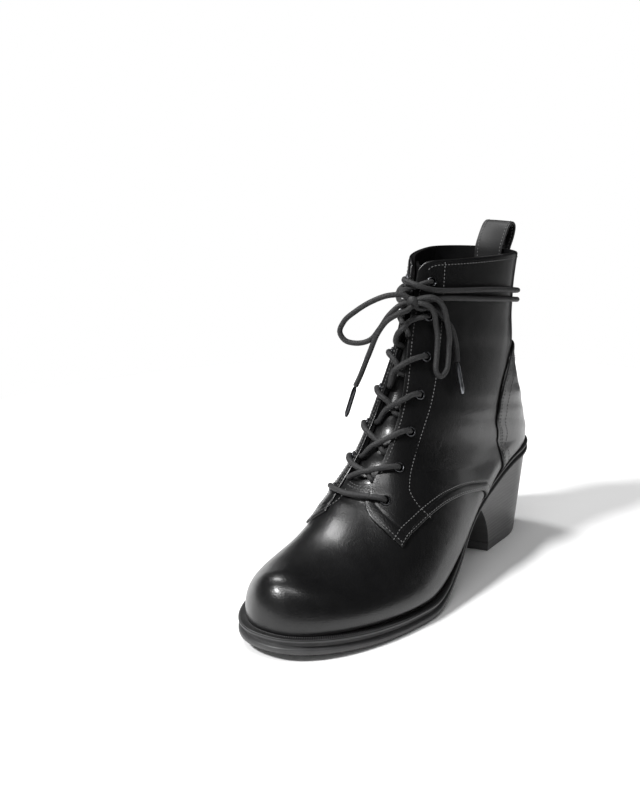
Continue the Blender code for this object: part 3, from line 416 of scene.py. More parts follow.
leather = polished("black_leather", (0.0040, 0.0040, 0.0043), (0.0065, 0.0065, 0.0068), 0.29, 0.18, 0.14, 0.6)
tongue_leather = polished("tongue_leather", (0.0045, 0.0045, 0.0048), (0.007, 0.007, 0.0073), 0.32, 0.25, 0.16, 0.6)
loop_leather = polished("loop_leather", (0.006, 0.006, 0.0063), (0.008, 0.008, 0.0083), 0.6, 0.04, 0.3, 0.6)

lining, tree, shader = material("lining", (0.012, 0.011, 0.011), 0.62)
tinted(tree, shader, noise(tree, 90), (0.020, 0.020, 0.020), (0.055, 0.053, 0.051))
bumped(tree, shader, [(noise(tree, 130, 3, (1, 1, 0.5)), 0.8, 0.0012), (noise(tree, 1800, 2), 0.4, 0.0002)])

rubber, tree, shader = material("sole_rubber", (0.040, 0.040, 0.041), 0.50, coat=0.1, coat_roughness=0.35)
tinted(tree, shader, noise(tree, 120), (0.034, 0.034, 0.035), (0.050, 0.050, 0.051))
bumped(tree, shader, [(noise(tree, 1600, 2), 0.3, 0.0001)])

# near-black rubber for the rib grooves on the welt's top: painted shade in the grooves, darker than the rubber itself
painted_groove_shade, tree, shader = material("sole_rubber_painted_groove_shade", (0.006, 0.006, 0.006), 0.7)
tinted(tree, shader, noise(tree, 120), (0.005, 0.005, 0.005), (0.008, 0.008, 0.008))
bumped(tree, shader, [(noise(tree, 1600, 2), 0.3, 0.0001)])

stacked, tree, shader = material("stacked_leather", (0.016, 0.016, 0.017), 0.38, coat=0.2, coat_roughness=0.25)
tinted(tree, shader, noise(tree, 60, 4, (1, 1, 14)), (0.010, 0.010, 0.010), (0.026, 0.025, 0.025))
bumped(tree, shader, [(noise(tree, 240, 3, (1, 1, 10)), 0.35, 0.0002)])

gunmetal, tree, shader = material("gunmetal", (0.075, 0.077, 0.082), 0.30, metallic=1.0)
tinted(tree, shader, noise(tree, 700), (0.055, 0.056, 0.060), (0.12, 0.122, 0.13))
bumped(tree, shader, [(noise(tree, 3000, 2), 0.2, 0.00005)])

silver, tree, shader = material("aglet_metal", (0.30, 0.31, 0.33), 0.32, metallic=1.0)
tinted(tree, shader, noise(tree, 500), (0.24, 0.25, 0.265), (0.36, 0.37, 0.39))
bumped(tree, shader, [(noise(tree, 2500, 2), 0.2, 0.00005)])

cord_look, tree, shader = material("waxed_cord", (0.014, 0.014, 0.015), 0.6, sheen=0.03)
tinted(tree, shader, noise(tree, 2200, 2), (0.007, 0.007, 0.0075), (0.030, 0.030, 0.031))
bumped(tree, shader, [(cells(tree, 1900), 0.9, 0.0004), (noise(tree, 5000, 2), 0.5, 0.0001)])

thread, tree, shader = material("thread", (0.12, 0.12, 0.12), 0.5)
tinted(tree, shader, noise(tree, 3000), (0.09, 0.09, 0.09), (0.16, 0.16, 0.16))
bumped(tree, shader, [(noise(tree, 6000, 2), 0.4, 0.00008)])


def shown(made, replaced=()):
    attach(made, "root")
    if replaced:
        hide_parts(*replaced)
    return made


def add(name, points, faces, look, replaced=(), sharp=40):
    mesh = bpy.data.meshes.new(name)
    mesh.from_pydata(np.asarray(points, float).reshape(-1, 3).tolist(), [], [list(map(int, f)) for f in faces])
    mesh.materials.append(look)
    solid = bmesh.new()
    solid.from_mesh(mesh)
    bmesh.ops.remove_doubles(solid, verts=solid.verts, dist=1e-7)
    bmesh.ops.dissolve_degenerate(solid, edges=solid.edges, dist=1e-8)
    bmesh.ops.recalc_face_normals(solid, faces=solid.faces)
    solid.to_mesh(mesh)
    solid.free()
    mesh.shade_smooth()
    if sharp:
        mesh.set_sharp_from_angle(angle=np.radians(sharp))
    made = bpy.data.objects.new(name, mesh)
    bpy.context.scene.collection.objects.link(made)
    return shown(made, replaced)


def grid_faces(rows, columns, closed=False):
    i, j = np.meshgrid(np.arange(rows - 1), np.arange(columns - (not closed)), indexing="ij")
    right = (j + 1) % columns
    return np.stack([i * columns + j, (i + 1) * columns + j, (i + 1) * columns + right, i * columns + right],
                    -1).reshape(-1, 4)


def sheet_solid(name, high, low, look, replaced=(), keep=None, sharp=40):
    """A solid between two grids of points, closed along its edges."""
    rows, columns = high.shape[:2]
    faces = grid_faces(rows, columns)
    if keep is not None:
        faces = faces[keep.reshape(-1)]
    count = rows * columns
    edges = np.concatenate([faces[:, [k, (k + 1) % 4]] for k in range(4)])
    there = {(a, b) for a, b in edges.tolist()}
    rim = np.array([[b, a, a + count, b + count] for a, b in edges.tolist() if (b, a) not in there])
    everything = np.concatenate([faces, faces[:, ::-1] + count, rim])
    points = np.concatenate([high.reshape(-1, 3), low.reshape(-1, 3)])
    used = np.unique(everything)
    place = np.zeros(len(points), int)
    place[used] = np.arange(len(used))
    return add(name, points[used], place[everything], look, replaced, sharp)


def tube(name, points, radius, look, replaced=(), sides=14, taper=0.6):
    """A round closed bar along these points, its ends drawn in a little."""
    run = np.gradient(points, axis=0)
    run /= np.linalg.norm(run, axis=1, keepdims=True)
    side = np.cross(run[0], (0.0, -1.0, 0.3))
    turn = np.linspace(0, 2 * np.pi, sides, endpoint=False)[:, None]
    sections = []
    for k, (point, way) in enumerate(zip(points, run)):
        side = side - way * (side @ way)
        side /= np.linalg.norm(side)
        up = np.cross(way, side)
        size = radius * (taper if k in (0, len(points) - 1) else 1)
        sections.append(point + (np.cos(turn) * side + np.sin(turn) * up) * size)
    faces = grid_faces(len(points), sides, True)[:, ::-1].tolist()
    faces += [list(range(sides)), list(range((len(points) - 1) * sides, len(points) * sides))[::-1]]
    return add(name, np.array(sections), faces, look, replaced, 60)


def lace(name, points, look):
    """A curve of one spline for a free cord."""
    data = bpy.data.curves.new(name, "CURVE")
    data.dimensions = "3D"
    data.bevel_depth = CORD / 2
    data.bevel_resolution = 5
    data.use_fill_caps = True
    data.materials.append(look)
    spline = data.splines.new("POLY")
    spline.points.add(len(points) - 1)
    for place, point in zip(spline.points, points):
        place.co = (*point, 1)
    made = bpy.data.objects.new(name, data)
    bpy.context.scene.collection.objects.link(made)
    return made


# the two laces that leave the top eyelets, go round the ankle and make the bow
knot_middle = last(KNOT[0], KNOT[1]) + outward(KNOT[0], KNOT[1]) * (RIDE + KNOT[2] * LACE)
for name, wrap, loop, end, aglet, parts in (
    ("lace_left", WRAP_UPPER, knot_middle + LOOP_LEFT * LACE, knot_middle + END_LEFT * LACE,
     evenly(knot_middle + AGLET_LEFT * LACE, 9), ("lace_wrap_upper", "lace_loop_left", "lace_end_left")),
    ("lace_right", WRAP_LOWER, over_upper(LOOP_RIGHT, 80), over_upper(END_RIGHT, 40),
     over_upper(AGLET_RIGHT, 9), ("lace_wrap_lower", "lace_loop_right", "lace_end_right")),
):
    start = over_upper(wrap, 170)
    route = np.concatenate([start, [knot_middle], loop, [knot_middle], end])
    route = evenly(route, 320)
    made = shown(lace(name, route, cord_look), parts)
    side = name.split("_")[1]
    tip = tube(f"aglet_{side}", aglet, 0.00135, silver if side == "right" else gunmetal, ("lace_aglet_" + side,),
               sides=20)

# soft creases, worn into every layer alike: station, girth, reach in stations and girths, depth
CREASES = np.array([
    (0.600, 0.180, 0.014, 0.20, 0.00022), (0.628, 0.330, 0.012, 0.16, 0.00020), (0.300, 0.560, 0.016, 0.26, 0.00030),
    (0.342, 0.480, 0.014, 0.20, 0.00022), (0.255, 0.700, 0.012, 0.22, 0.00022), (0.180, 0.380, 0.020, 0.26, 0.00020),
    (0.120, 0.640, 0.018, 0.26, 0.00022), (0.430, 0.330, 0.018, 0.20, 0.00020), (0.500, 0.280, 0.016, 0.18, 0.00018),
    (0.660, -0.300, 0.012, 0.20, 0.00022), (0.620, -0.220, 0.014, 0.20, 0.00020), (0.310, -0.560, 0.016, 0.26, 0.00030),
    (0.180, -0.450, 0.018, 0.26, 0.00022),
])


def creased(u, g, offset):
    """A layer of the upper with its troughs and the ridges beside them."""
    depth = 0 * u
    for station, girth, reach_u, reach_g, trough in CREASES:
        across = (u - station - 0.10 * (g - girth) ** 2) / reach_u
        fade = np.exp(-((g - girth) / reach_g) ** 2)
        depth = depth + trough * fade * (0.55 * np.exp(-((across - 2.2) / 1.3) ** 2) - np.exp(-across**2)
                                         + 0.45 * np.exp(-((across + 2.2) / 1.3) ** 2))
    return layer(u, g, offset + depth)


def collar_drop(girth, edge):
    near = np.clip((abs(girth) - edge) / 0.13, 0, 1)
    return 0.004 + 0.036 * (1 - near) ** 3


def worn_edge(distance, reach):
    """0 well inside and 1 on an edge, rounded."""
    return 1 - np.sqrt(1 - np.clip(1 - distance / reach, 0, 1) ** 2)


def across_metres(points, axis):
    """Distance from the first row or column, and from the last."""
    step = np.linalg.norm(np.diff(points, axis=axis), axis=-1)
    run = np.concatenate([0 * np.take(step, [0], axis), np.cumsum(step, axis=axis)], axis)
    return run, np.take(run, [-1], axis) - run


def eased(count, crowd=2.0):
    """Shares from 0 to 1, closer together at both ends."""
    x = np.linspace(-1, 1, count)
    return 0.5 + 0.5 * np.sign(x) * (1 - (1 - abs(x)) ** crowd)


def calmed(sheet, weight, turns, axis):
    """Evens a grid of points along one of its directions, by these weights, with its first and last kept."""
    sheet, weight = np.moveaxis(sheet, axis, 0), np.moveaxis(weight, axis, 0)
    for turn in range(turns):
        mean = (sheet[:-2] + 2 * sheet[1:-1] + sheet[2:]) / 4
        sheet[1:-1] += weight[1:-1, :, None] * (mean - sheet[1:-1])
    return np.moveaxis(sheet, 0, axis)


def at_heel_station(u, g, middle, reach):
    """1 where the surface bends at the heel station, 0 away from there and along the back seam."""
    return np.exp(-((u - middle) / reach) ** 2) * np.clip((0.9 - abs(g)) / 0.2, 0, 1)


# upper: vamp and lining in one shell
rows = np.r_[np.linspace(0, HEEL_STATION, 60), HEEL_STATION + 0.08 * (1 - np.cos(np.linspace(0, np.pi / 2, 14)[1:])),
             np.linspace(0.505, THROAT_END, 8), np.linspace(THROAT_END, 0.86, 80)[1:],
             0.86 + 0.14 * np.sin(np.linspace(0, np.pi / 2, 40)[1:])]
SIDE, THROAT_COLUMNS = 70, 24
part = np.linspace(0, 1, SIDE + 1)
outer_edge, inner_edge = smooth(THROAT, 1, rows)[:, None], smooth(THROAT, 2, rows)[:, None]
g = np.concatenate([
    -1 + part * (1 - inner_edge),
    -inner_edge + np.linspace(0, 1, THROAT_COLUMNS + 1)[1:-1] * (outer_edge + inner_edge),
    outer_edge + part * (1 - outer_edge),
], 1)
u = np.repeat(rows[:, None], g.shape[1], 1)
u = u + collar_drop(g, np.where(g > 0, outer_edge, inner_edge)) * np.clip(1 - u / 0.2, 0, 1)
keep = np.ones((len(rows) - 1, g.shape[1] - 1), bool)
keep[np.ix_(np.flatnonzero(rows[:-1] < THROAT_END - 1e-6), range(SIDE, SIDE + THROAT_COLUMNS))] = False
thin = np.where(u > 0.97, 0.9, 1.0)
low = creased(u, g, -WALL * thin)
high = creased(u, g, 0.0 * u)
upper = sheet_solid("upper_leather", high, low, leather, ("upper",), keep=keep)


# quarters: from the collar down to the lower edge, with a band sewn along it
def keyed_line(table, count=14):
    keyed = np.column_stack([np.arange(len(table)), table])
    at = np.linspace(0, len(table) - 1, count * (len(table) - 1) + 1)
    return np.stack([smooth(keyed, 1, at), smooth(keyed, 2, at)], -1)


def edge_line(table, corner, count):
    """Evenly keyed stations and girths along a table, smooth but for one corner."""
    runs = []
    for run in (table[:corner + 1], table[corner:]):
        keyed = np.column_stack([np.arange(len(run)), run])
        at = np.linspace(0, len(run) - 1, count * (len(run) - 1) + 1)
        runs.append(np.stack([smooth(keyed, 1, at), smooth(keyed, 2, at)], -1))
    return np.concatenate([runs[0], runs[1][1:]])


def spaced(line, sign, step):
    """The line's points at about this spacing in metres on the boot."""
    where = last(line[:, 0], sign * line[:, 1])
    run = np.r_[0, np.cumsum(np.linalg.norm(np.diff(where, axis=0), axis=1))]
    at = np.linspace(0, run[-1], max(2, int(run[-1] / step) + 1))
    return np.stack([np.interp(at, run, line[:, c]) for c in (0, 1)], -1)


TAB_TIP = 5
BAND = 0.0075
quarters = {}
for name, sign, column in (("quarter_outer", 1, 1), ("quarter_inner", -1, 2)):
    line = edge_line(QUARTER_EDGE, TAB_TIP, 12)
    front = smooth(THROAT, column, line[:, 0])
    share_in = (line[:, 1] - front) / (1 - front)
    if share_in[0] < 0 or (share_in[:8] < 0).any():
        first = np.flatnonzero(share_in < 0)[-1] + 1
    else:
        first = 1
    start_u = line[first, 0] - 0.002
    line = np.concatenate([[(start_u, float(smooth(THROAT, column, start_u)))], line[first:]])
    # behind the table's end the edge drops straight to the welt
    target = last(line[-1, 0], sign * line[-1, 1])[1]
    stations = np.linspace(0.45, 0.70, 400)
    tail_g = np.linspace(line[-1, 1], 1.0, 9)[1:]
    tail_u = [stations[np.argmin(abs(last(stations, sign * value)[:, 1] - target))] for value in tail_g]
    line = np.concatenate([line, np.column_stack([tail_u, tail_g])])
    line = spaced(line, sign, 0.0009)
    front = smooth(THROAT, column, line[:, 0])
    s = np.clip((line[:, 1] - front) / (1 - front), 0, 1)
    s = np.maximum.accumulate(s)
    s[0], s[-1] = 0, 1
    s = s + np.arange(len(s)) * 1e-7
    t = eased(130, 1.7)[:, None]
    u_top = collar_drop(line[:, 1][None], smooth(THROAT, column, 0.0))
    u = u_top + (line[:, 0][None] - u_top) * t
    edge = smooth(THROAT, column, u)
    g = edge + (1 - edge) * np.clip(s, 0, 1)[None]
    fine = np.clip(g, 0, 1)
    shape = last(u, sign * fine)
    top_near, low_near = across_metres(shape, 0)
    front_near, _ = across_metres(shape, 1)
    round_ = np.maximum(worn_edge(low_near, 0.0008), worn_edge(front_near, 0.0008))
    round_ = np.maximum(round_, worn_edge(top_near, 0.0010))
    # a shallow groove lies between the band and the quarter's face, and the leather dips at the stitch rows
    groove = 0.00022 * np.exp(-((low_near - BAND) / 0.0006) ** 2) * (front_near > 0.003)
    puff = 0.00016 * np.exp(-((low_near - BAND / 2) / 0.0022) ** 2)
    high = creased(u, sign * fine, GAP + OVERLAY * (1 - 0.55 * round_) - groove + puff)
    low = creased(u, sign * fine, GAP + 0 * u)
    bend = at_heel_station(u, fine, HEEL_STATION, 0.035)
    high, low = [calmed(sheet, bend, 40, 0) for sheet in (high, low)]
    if sign < 0:
        high, low = high[:, ::-1], low[:, ::-1]
    quarters[name] = sheet_solid(name + "_leather", high, low, leather, (name,), sharp=50)

# counter: from its edge to the back seam and down to the welt, both sides in one
TAIL_FROM, TAIL_SHARE = 8, 0.246


def counter_edge():
    """The counter's edge, its tail run down to the welt at an even slope."""
    line = keyed_line(COUNTER_EDGE[:TAIL_FROM + 1], 20)
    girths = line[-1, 1] + (1 - line[-1, 1]) * np.linspace(0, 1, 90)[1:] ** 1.8
    height = [last(line[-1, 0], line[-1, 1])[2], last(0.53, 1.0)[2]]
    from_share = share_of(last(line[-1, 0], line[-1, 1]))
    stations = np.linspace(line[-1, 0], 0.62, 900)
    tail = []
    for girth in girths:
        where = last(stations, girth)
        low = np.clip((height[0] - where[:, 2]) / (height[0] - height[1]), 0, 1)
        target = from_share + (TAIL_SHARE - from_share) * low
        tail.append((stations[np.argmin(abs(share_of(where) - target))], girth))
    return spaced(np.concatenate([line, tail]), 1, 0.0005)


line = counter_edge()
foot = line[-1, 0]
line = line[:-4]
run = np.linspace(0, 1, len(line))
bottom = line[0, 0] + (foot - line[0, 0]) * run**0.8
fill = eased(60, 1.6)[:, None]
u = line[:, 0] + (bottom - line[:, 0]) * fill
g = line[:, 1] + (1 - line[:, 1]) * fill
u, g = u.T, g.T
both_u = np.concatenate([u, u[:, -2::-1]], 1)
both_g = np.concatenate([g, -g[:, -2::-1]], 1)
shape = last(both_u, both_g)
edge_near, other = across_metres(shape, 1)
counter_runs = {1: (both_u, both_g, edge_near), -1: (both_u[:, ::-1], both_g[:, ::-1], other[:, ::-1])}
edge_near = np.minimum(edge_near, other)
round_ = worn_edge(edge_near, 0.0008)
counter_low = 2 * GAP + OVERLAY
high = creased(both_u, both_g, counter_low + OVERLAY * (1 - 0.55 * round_))
low = creased(both_u, both_g, counter_low + 0 * both_u)
bend = at_heel_station(both_u, both_g, 0.44, 0.045)
high, low = [calmed(sheet, bend, 80, 1) for sheet in (high, low)]
counter_face = {1: high, -1: high[:, ::-1]}
sheet_solid("counter_leather", high[:, ::-1], low[:, ::-1], leather, ("counter",), sharp=50)

# tongue: padded between the laces
TONGUE_GAP, TONGUE_THICK = 0.0010, 0.0016
u, g = np.meshgrid(np.linspace(0.015, 0.615, 150), np.linspace(-0.22, 0.22, 61), indexing="ij")
rows_at = EYELETS[::-1, 0]
phase = np.interp(u, rows_at, np.arange(len(rows_at)))
between = np.sin(np.pi * np.clip(phase, 0, len(rows_at) - 1)) ** 2
swell = 0.0013 * between * np.exp(-(g / 0.075) ** 2)
fold = 0.0004 * np.sin(u * 74 + 9 * g) * np.exp(-((g - 0.01) / 0.05) ** 2)
high = layer(u, g, -WALL - TONGUE_GAP + swell + fold * between)
low = layer(u, g, -WALL - TONGUE_GAP - TONGUE_THICK + 0 * u)
middle = abs(g[0]).argmin()
for sheet in (high, low):
    for turn in range(3):
        inner = sheet[:, middle - 6:middle + 7].copy()
        inner[:, 1:-1] = (inner[:, :-2] + inner[:, 2:] + 2 * inner[:, 1:-1]) / 4
        sheet[:, middle - 6:middle + 7] = inner
sheet_solid("tongue_leather", high, low, tongue_leather, ("tongue",))

# eyelets, and the holes behind them
RING_SIDES = 40
HOLE_SIDES = RING_SIDES // 2
HOLE_RADIUS = 0.0024
holes_points, holes_faces = [], []
profile = np.array([
    (2.00, -1.6), (2.00, 1.95), (2.12, 2.22), (2.35, 2.36), (2.62, 2.30), (2.88, 2.08), (3.02, 1.78), (3.00, 1.45),
    (2.45, 1.45), (2.45, -1.6),
]) / 1000
for number, row in enumerate(EYELETS, 1):
    for side, girth in (("outer", row[1]), ("inner", -row[2])):
        normal = outward(row[0], girth)
        centre = layer(row[0], girth, 0.0)
        a, b = frame_at(normal)
        turn = np.linspace(0, 2 * np.pi, RING_SIDES, endpoint=False)
        spoke = np.cos(turn)[:, None] * a + np.sin(turn)[:, None] * b
        points = np.stack([centre + spoke * r + normal * h for r, h in np.r_[profile, profile[:1]]])
        faces = grid_faces(len(profile), RING_SIDES, True)
        end = (len(profile) - 1) * RING_SIDES
        last_ring = np.array([[end + k, k, (k + 1) % RING_SIDES, end + (k + 1) % RING_SIDES]
                              for k in range(RING_SIDES)])
        add(f"eyelet_ring_{side}_{number}", points[:-1], np.concatenate([faces, last_ring])[:, ::-1], gunmetal,
            (f"eyelet_{side}_{number}",))
        rod = np.concatenate([centre + spoke[::2] * HOLE_RADIUS + normal * h for h in (-0.004, 0.003)])
        start = sum(len(p) for p in holes_points)
        holes_points.append(rod)
        near_end, far_end = start + np.arange(HOLE_SIDES), start + HOLE_SIDES + np.arange(HOLE_SIDES)
        holes_faces += [near_end[::-1].tolist(), far_end.tolist()]
        holes_faces += np.stack([near_end, np.roll(near_end, -1), np.roll(far_end, -1), far_end], -1).tolist()
mesh = bpy.data.meshes.new("holes")
mesh.from_pydata(np.concatenate(holes_points).tolist(), [], holes_faces)
cutter = bpy.data.objects.new("holes", mesh)
bpy.context.scene.collection.objects.link(cutter)
for piece in (upper, *quarters.values()):
    modifier = piece.modifiers.new("holes", "BOOLEAN")
    modifier.operation = "DIFFERENCE"
    modifier.solver = "EXACT"
    modifier.object = cutter
bpy.context.view_layer.update()
graph = bpy.context.evaluated_depsgraph_get()
for piece in (upper, *quarters.values()):
    made = bpy.data.meshes.new_from_object(piece.evaluated_get(graph))
    piece.modifiers.clear()
    piece.data = made
    made.shade_smooth()
    made.set_sharp_from_angle(angle=np.radians(50))
bpy.data.objects.remove(cutter)

# lace rows: the bar at the bottom, and crossings whose ends go under the quarters
tube("lace_bar_row", over_upper(BAR, 60), CORD / 2, cord_look, ("lace_bar",))
for number, over_end, under_end, way, low_lift in CROSSINGS:
    upper_eyelet, lower_eyelet = EYELETS[int(number)], EYELETS[int(number) - 1]
    drop = lower_eyelet[0] - upper_eyelet[0]
    strands = []
    for side, end_part, rise in ((1, over_end, OVER), (-1, under_end, 0.0)):
        column = 1 if side > 0 else 2
        at = upper_eyelet[0] + drop * np.array([0.03, 0.25 * end_part, 0.6 * end_part, end_part])
        near_edge, far_edge = smooth(THROAT, column, at[1]), smooth(THROAT, 3 - column, at[3])
        route = np.array([
            (upper_eyelet[0], side * upper_eyelet[column], -0.75),
            (upper_eyelet[0], side * (upper_eyelet[column] - 0.010), -0.12),
            (at[0], side * (upper_eyelet[column] - BESIDE_EYELET), 0.04),
            (at[1], side * near_edge, 0.03),
            (at[2], 0.0, low_lift + rise),
            (at[3], -side * way * far_edge, low_lift),
            (at[3] + drop * 0.05, -side * (far_edge + 0.004), min(low_lift - 0.3, -1.35)),
            (at[3] + drop * 0.12, -side * (far_edge + 0.040), -1.95),
        ])
        strands.append(over_upper(route, 70))
    for piece, points in zip(("near", "far"), strands):
        name = f"lace_row_{int(number) + 1}_{piece}"
        tube(name, points, CORD / 2, cord_look, (f"lace_crossing_{int(number) + 1}",) if piece == "near" else ())

# knot: one turn of lace round the bow's middle
n = outward(KNOT[0], KNOT[1])
side, _ = frame_at(n)
turn = np.linspace(0, 2 * np.pi, 64, endpoint=False)[:, None]
ring = (knot_middle + 0.45 * LACE * (np.cos(turn) * side * 1.25 + np.sin(turn) * n * 1.45)
        + (0, 0, 1) * np.sin(turn + 0.6) * LACE * 0.30)
way = np.roll(ring, -1, 0) - np.roll(ring, 1, 0)
way /= np.linalg.norm(way, axis=1, keepdims=True)
across = np.cross(way, ring - knot_middle)
across /= np.linalg.norm(across, axis=1, keepdims=True)
out = np.cross(across, way)
angle = np.linspace(0, 2 * np.pi, 14, endpoint=False)[None, :, None]
skin = ring[:, None] + 0.5 * LACE * (1.35 * np.cos(angle) * across[:, None] + 0.95 * np.sin(angle) * out[:, None])
faces = grid_faces(65, 14, True) % (64 * 14)
add("bow_knot", skin, faces, cord_look, ("lace_knot",), sharp=60)


# welt and outsole
def thickness(share):
    return WAIST_SOLE + (SOLE - WAIST_SOLE) * np.clip((share - 0.42) / 0.2, 0, 1)


def even_parts(side, count):
    p = 0.5 - 0.5 * np.cos(np.linspace(0, np.pi, 3000))
    run = np.r_[0, np.cumsum(np.hypot(np.diff(half_widths(p)[side]), np.diff(p) * LENGTH))]
    return np.interp(np.linspace(0, run[-1], count), run, p)


def rim_loop(parts, inset, height):
    """One closed line round the sole at an inset; height gives z for shares and running numbers."""
    margin = inset / LENGTH
    sides = []
    for side, part in enumerate(parts):
        share = margin + (1 - 2 * margin) * part
        x = half_widths(share, inset)[side] * (1, -1)[side]
        z = height(share, np.arange(len(part)))
        points = np.stack([x, ORIGIN_AHEAD - share * LENGTH, z], -1)
        sides.append(points[:-1] if side == 0 else points[:0:-1])
    return np.concatenate(sides)


RIB_SAMPLES = 6
parts = [even_parts(side, 1500) for side in (0, 1)]


def ribbed(share, number, drop):
    wave = 0.5 - 0.5 * np.cos(2 * np.pi * (number % RIB_SAMPLES) / RIB_SAMPLES)
    where = np.clip((share - 0.27) / 0.04, 0, 1)
    return seat(share) - drop - 0.0005 * wave * where


welt_profile = [
    (0.0085, 0.0, 0), (0.0046, 0.0, 0), (0.0043, 0.0, 1), (0.0024, -0.00004, 1), (0.0011, 0.0, 1), (0.0006, 0.00005, 0),
    (0.0002, 0.00022, 0), (0.0, 0.0006, 0), (0.0, 0.0013, 0), (0.0003, 0.0018, 0), (0.0008, WELT_THICK, 0),
    (0.0085, WELT_THICK, 0),
]
loops = []
for inset, drop, ribs in welt_profile:
    flat = (lambda s, n, d=drop: seat(s) - d)
    with_ribs = (lambda s, n, d=drop: ribbed(s, n, d))
    loops.append(rim_loop(parts, inset, with_ribs if ribs else flat))
loops = np.stack(loops)
count = loops.shape[1]
faces = grid_faces(len(welt_profile) + 1, count, True) % (len(welt_profile) * count)
welt = add("welt_ribbed", loops, faces, rubber, ("welt",), sharp=35)
welt.data.materials.append(painted_groove_shade)
middles = np.empty(3 * len(welt.data.polygons))
upright = np.empty(3 * len(welt.data.polygons))
welt.data.polygons.foreach_get("center", middles)
welt.data.polygons.foreach_get("normal", upright)
middles = middles.reshape(-1, 3)
# faces sunk into the rib grooves on the welt's top get the painted groove shade
sunk = seat(share_of(middles)) - middles[:, 2]
dark = (sunk > 0.00022) & (sunk < 0.00060) & (abs(upright.reshape(-1, 3)[:, 2]) > 0.15)
welt.data.polygons.foreach_set("material_index", dark.astype(np.int32))

SOLE_TOP = WELT_THICK + GAP
sole_profile = [
    (0.0016, 0.0), (0.0020, 0.08), (0.0020, 0.32), (0.0014, 0.39), (0.0006, 0.43), (0.0002, 0.49), (0.0, 0.58),
    (0.0, 0.74), (0.00025, 0.86), (0.0006, 0.95), (0.0013, 1.0),
]
part = 0.5 - 0.5 * np.cos(np.linspace(0, np.pi, 260))
outer_side, inner_side = [], []
for inset, down in sole_profile:
    share = inset / LENGTH + (1 - 2 * inset / LENGTH) * part
    outer, inner = half_widths(share, inset)
    z = seat(share) - SOLE_TOP - down * (thickness(share) - SOLE_TOP)
    y = ORIGIN_AHEAD - share * LENGTH
    outer_side.append(np.stack([outer, y, z], -1))
    inner_side.append(np.stack([-inner, y, z], -1))
sections = np.stack(outer_side + inner_side[::-1], 1)
add("outsole_edge", sections, grid_faces(len(part), sections.shape[1], True), rubber, ("outsole",), sharp=45)


def heel_side(side, part, z_of):
    """A column down the heel's side, a part of the way to its front corner."""
    on_floor, on_sole = HEEL_LENGTH[side]
    sign = (1, -1)[side]

    def ends(hollow):
        low_share = (HEEL_INSET + (on_floor - HEEL_INSET) * part * hollow) / LENGTH
        high_share = (HEEL_TOP_INSET + (on_sole - HEEL_TOP_INSET) * part * hollow) / LENGTH
        top = seat(high_share) - thickness(high_share) - GAP
        low_y = -low_share * LENGTH - HEEL_LEAN * (1 - part)
        return (sign * half_widths(low_share, HEEL_INSET)[side], low_y,
                sign * half_widths(high_share, HEEL_TOP_INSET)[side], -high_share * LENGTH, top)

    top = ends(1.0)[4]
    z = z_of(top)
    height = z / top
    low_x, low_y, high_x, high_y, _ = ends(1 - BREAST_HOLLOW * 4 * height * (1 - height) / on_sole)
    y = low_y + (high_y - low_y) * height + ORIGIN_AHEAD
    return np.stack([low_x + (high_x - low_x) * height, y, z], -1)


def heel_block(name, z_of, groove, look, replaced):
    shares = np.sin(np.linspace(0, np.pi / 2, 70))
    columns = []
    for side in (0, 1):
        grid = np.array([heel_side(side, share, z_of) for share in shares])
        along = np.gradient(grid, axis=0)
        normal = np.cross(along, np.gradient(grid, axis=1)) * (1, -1)[side]
        normal[..., 2] = 0
        normal[0] = (0, 1, 0)
        normal /= np.maximum(np.linalg.norm(normal, axis=-1, keepdims=True), 1e-12)
        normal *= np.sign((normal * (grid - (0, 0.01, 0)))[..., :2].sum(-1).mean())
        moved = grid - normal * groove(grid[..., 2])[..., None]
        moved[0, :, 0] = 0
        columns.append(moved)
    sections = np.concatenate([columns[0], columns[1][:, ::-1]], 1)
    faces = grid_faces(len(shares), sections.shape[1], True).tolist()
    levels = sections.shape[1] // 2
    base = (len(shares) - 1) * sections.shape[1]
    faces += [[base + k, base + k + 1, base + 2 * levels - 2 - k, base + 2 * levels - 1 - k]
              for k in range(levels - 1)]
    return add(name, sections, faces, look, replaced, sharp=50)


STACK_PITCH = 0.0023
LIFT_TOP = LIFT_THICK + GAP
heel_block("heel_stack", lambda top: LIFT_TOP + (top - LIFT_TOP) * np.linspace(1, 0, 130),
           lambda z: 0.00010 * np.exp(-(((z - LIFT_TOP) % STACK_PITCH - STACK_PITCH / 2) / 0.00028) ** 2),
           stacked, ("heel",))
heel_block("heel_lift", lambda top: LIFT_THICK * np.array([1, 0.97, 0.9, 0.5, 0.15, 0.06, 0.0]),
           lambda z: 0.0003 * (np.clip(1 - z / 0.0009, 0, 1) ** 2
                               + np.clip((z - LIFT_THICK + 0.0006) / 0.0006, 0, 1) ** 2),
           rubber, ("top_lift",))

# pull loop
LOOP_WIDTH, LOOP_THICK, LOOP_CURL, LOOP_TURN, LOOP_SEAM = 0.0195, 0.0016, 0.020, 0.14, 0.0018
LOOP_PATH = np.array([
    (-0.0036, 0.925, 1.0), (-0.0036, 0.960, 1.0), (-0.0035, 0.995, 1.0), (-0.0012, 1.030, 0.8), (0.0022, 1.064, 0.6),
    (0.0058, 1.076, 0.5), (0.0084, 1.062, 0.5), (0.0076, 1.030, 0.7), (0.0048, 0.995, 0.9), (0.0036, 0.965, 1.0),
    (0.0038, 0.925, 1.0), (0.0062, 0.880, 0.8), (0.0078, 0.835, 0.7), (0.0073, 0.790, 0.7), (0.0044, 0.745, 0.9),
    (0.0040, 0.703, 1.0),
])
back_of = last(np.linspace(0, HEEL_STATION, 60), 1.0)
keyed = np.column_stack([np.arange(len(LOOP_PATH)), LOOP_PATH])
steps = np.linspace(0, len(LOOP_PATH) - 1, 160)
behind, share, bent = [smooth(keyed, c, steps) for c in (1, 2, 3)]
back_line = np.interp(np.minimum(share, 1.0) * HEIGHT, back_of[::-1, 2], back_of[::-1, 1])
centre = np.stack([back_line + behind, share * HEIGHT], -1)
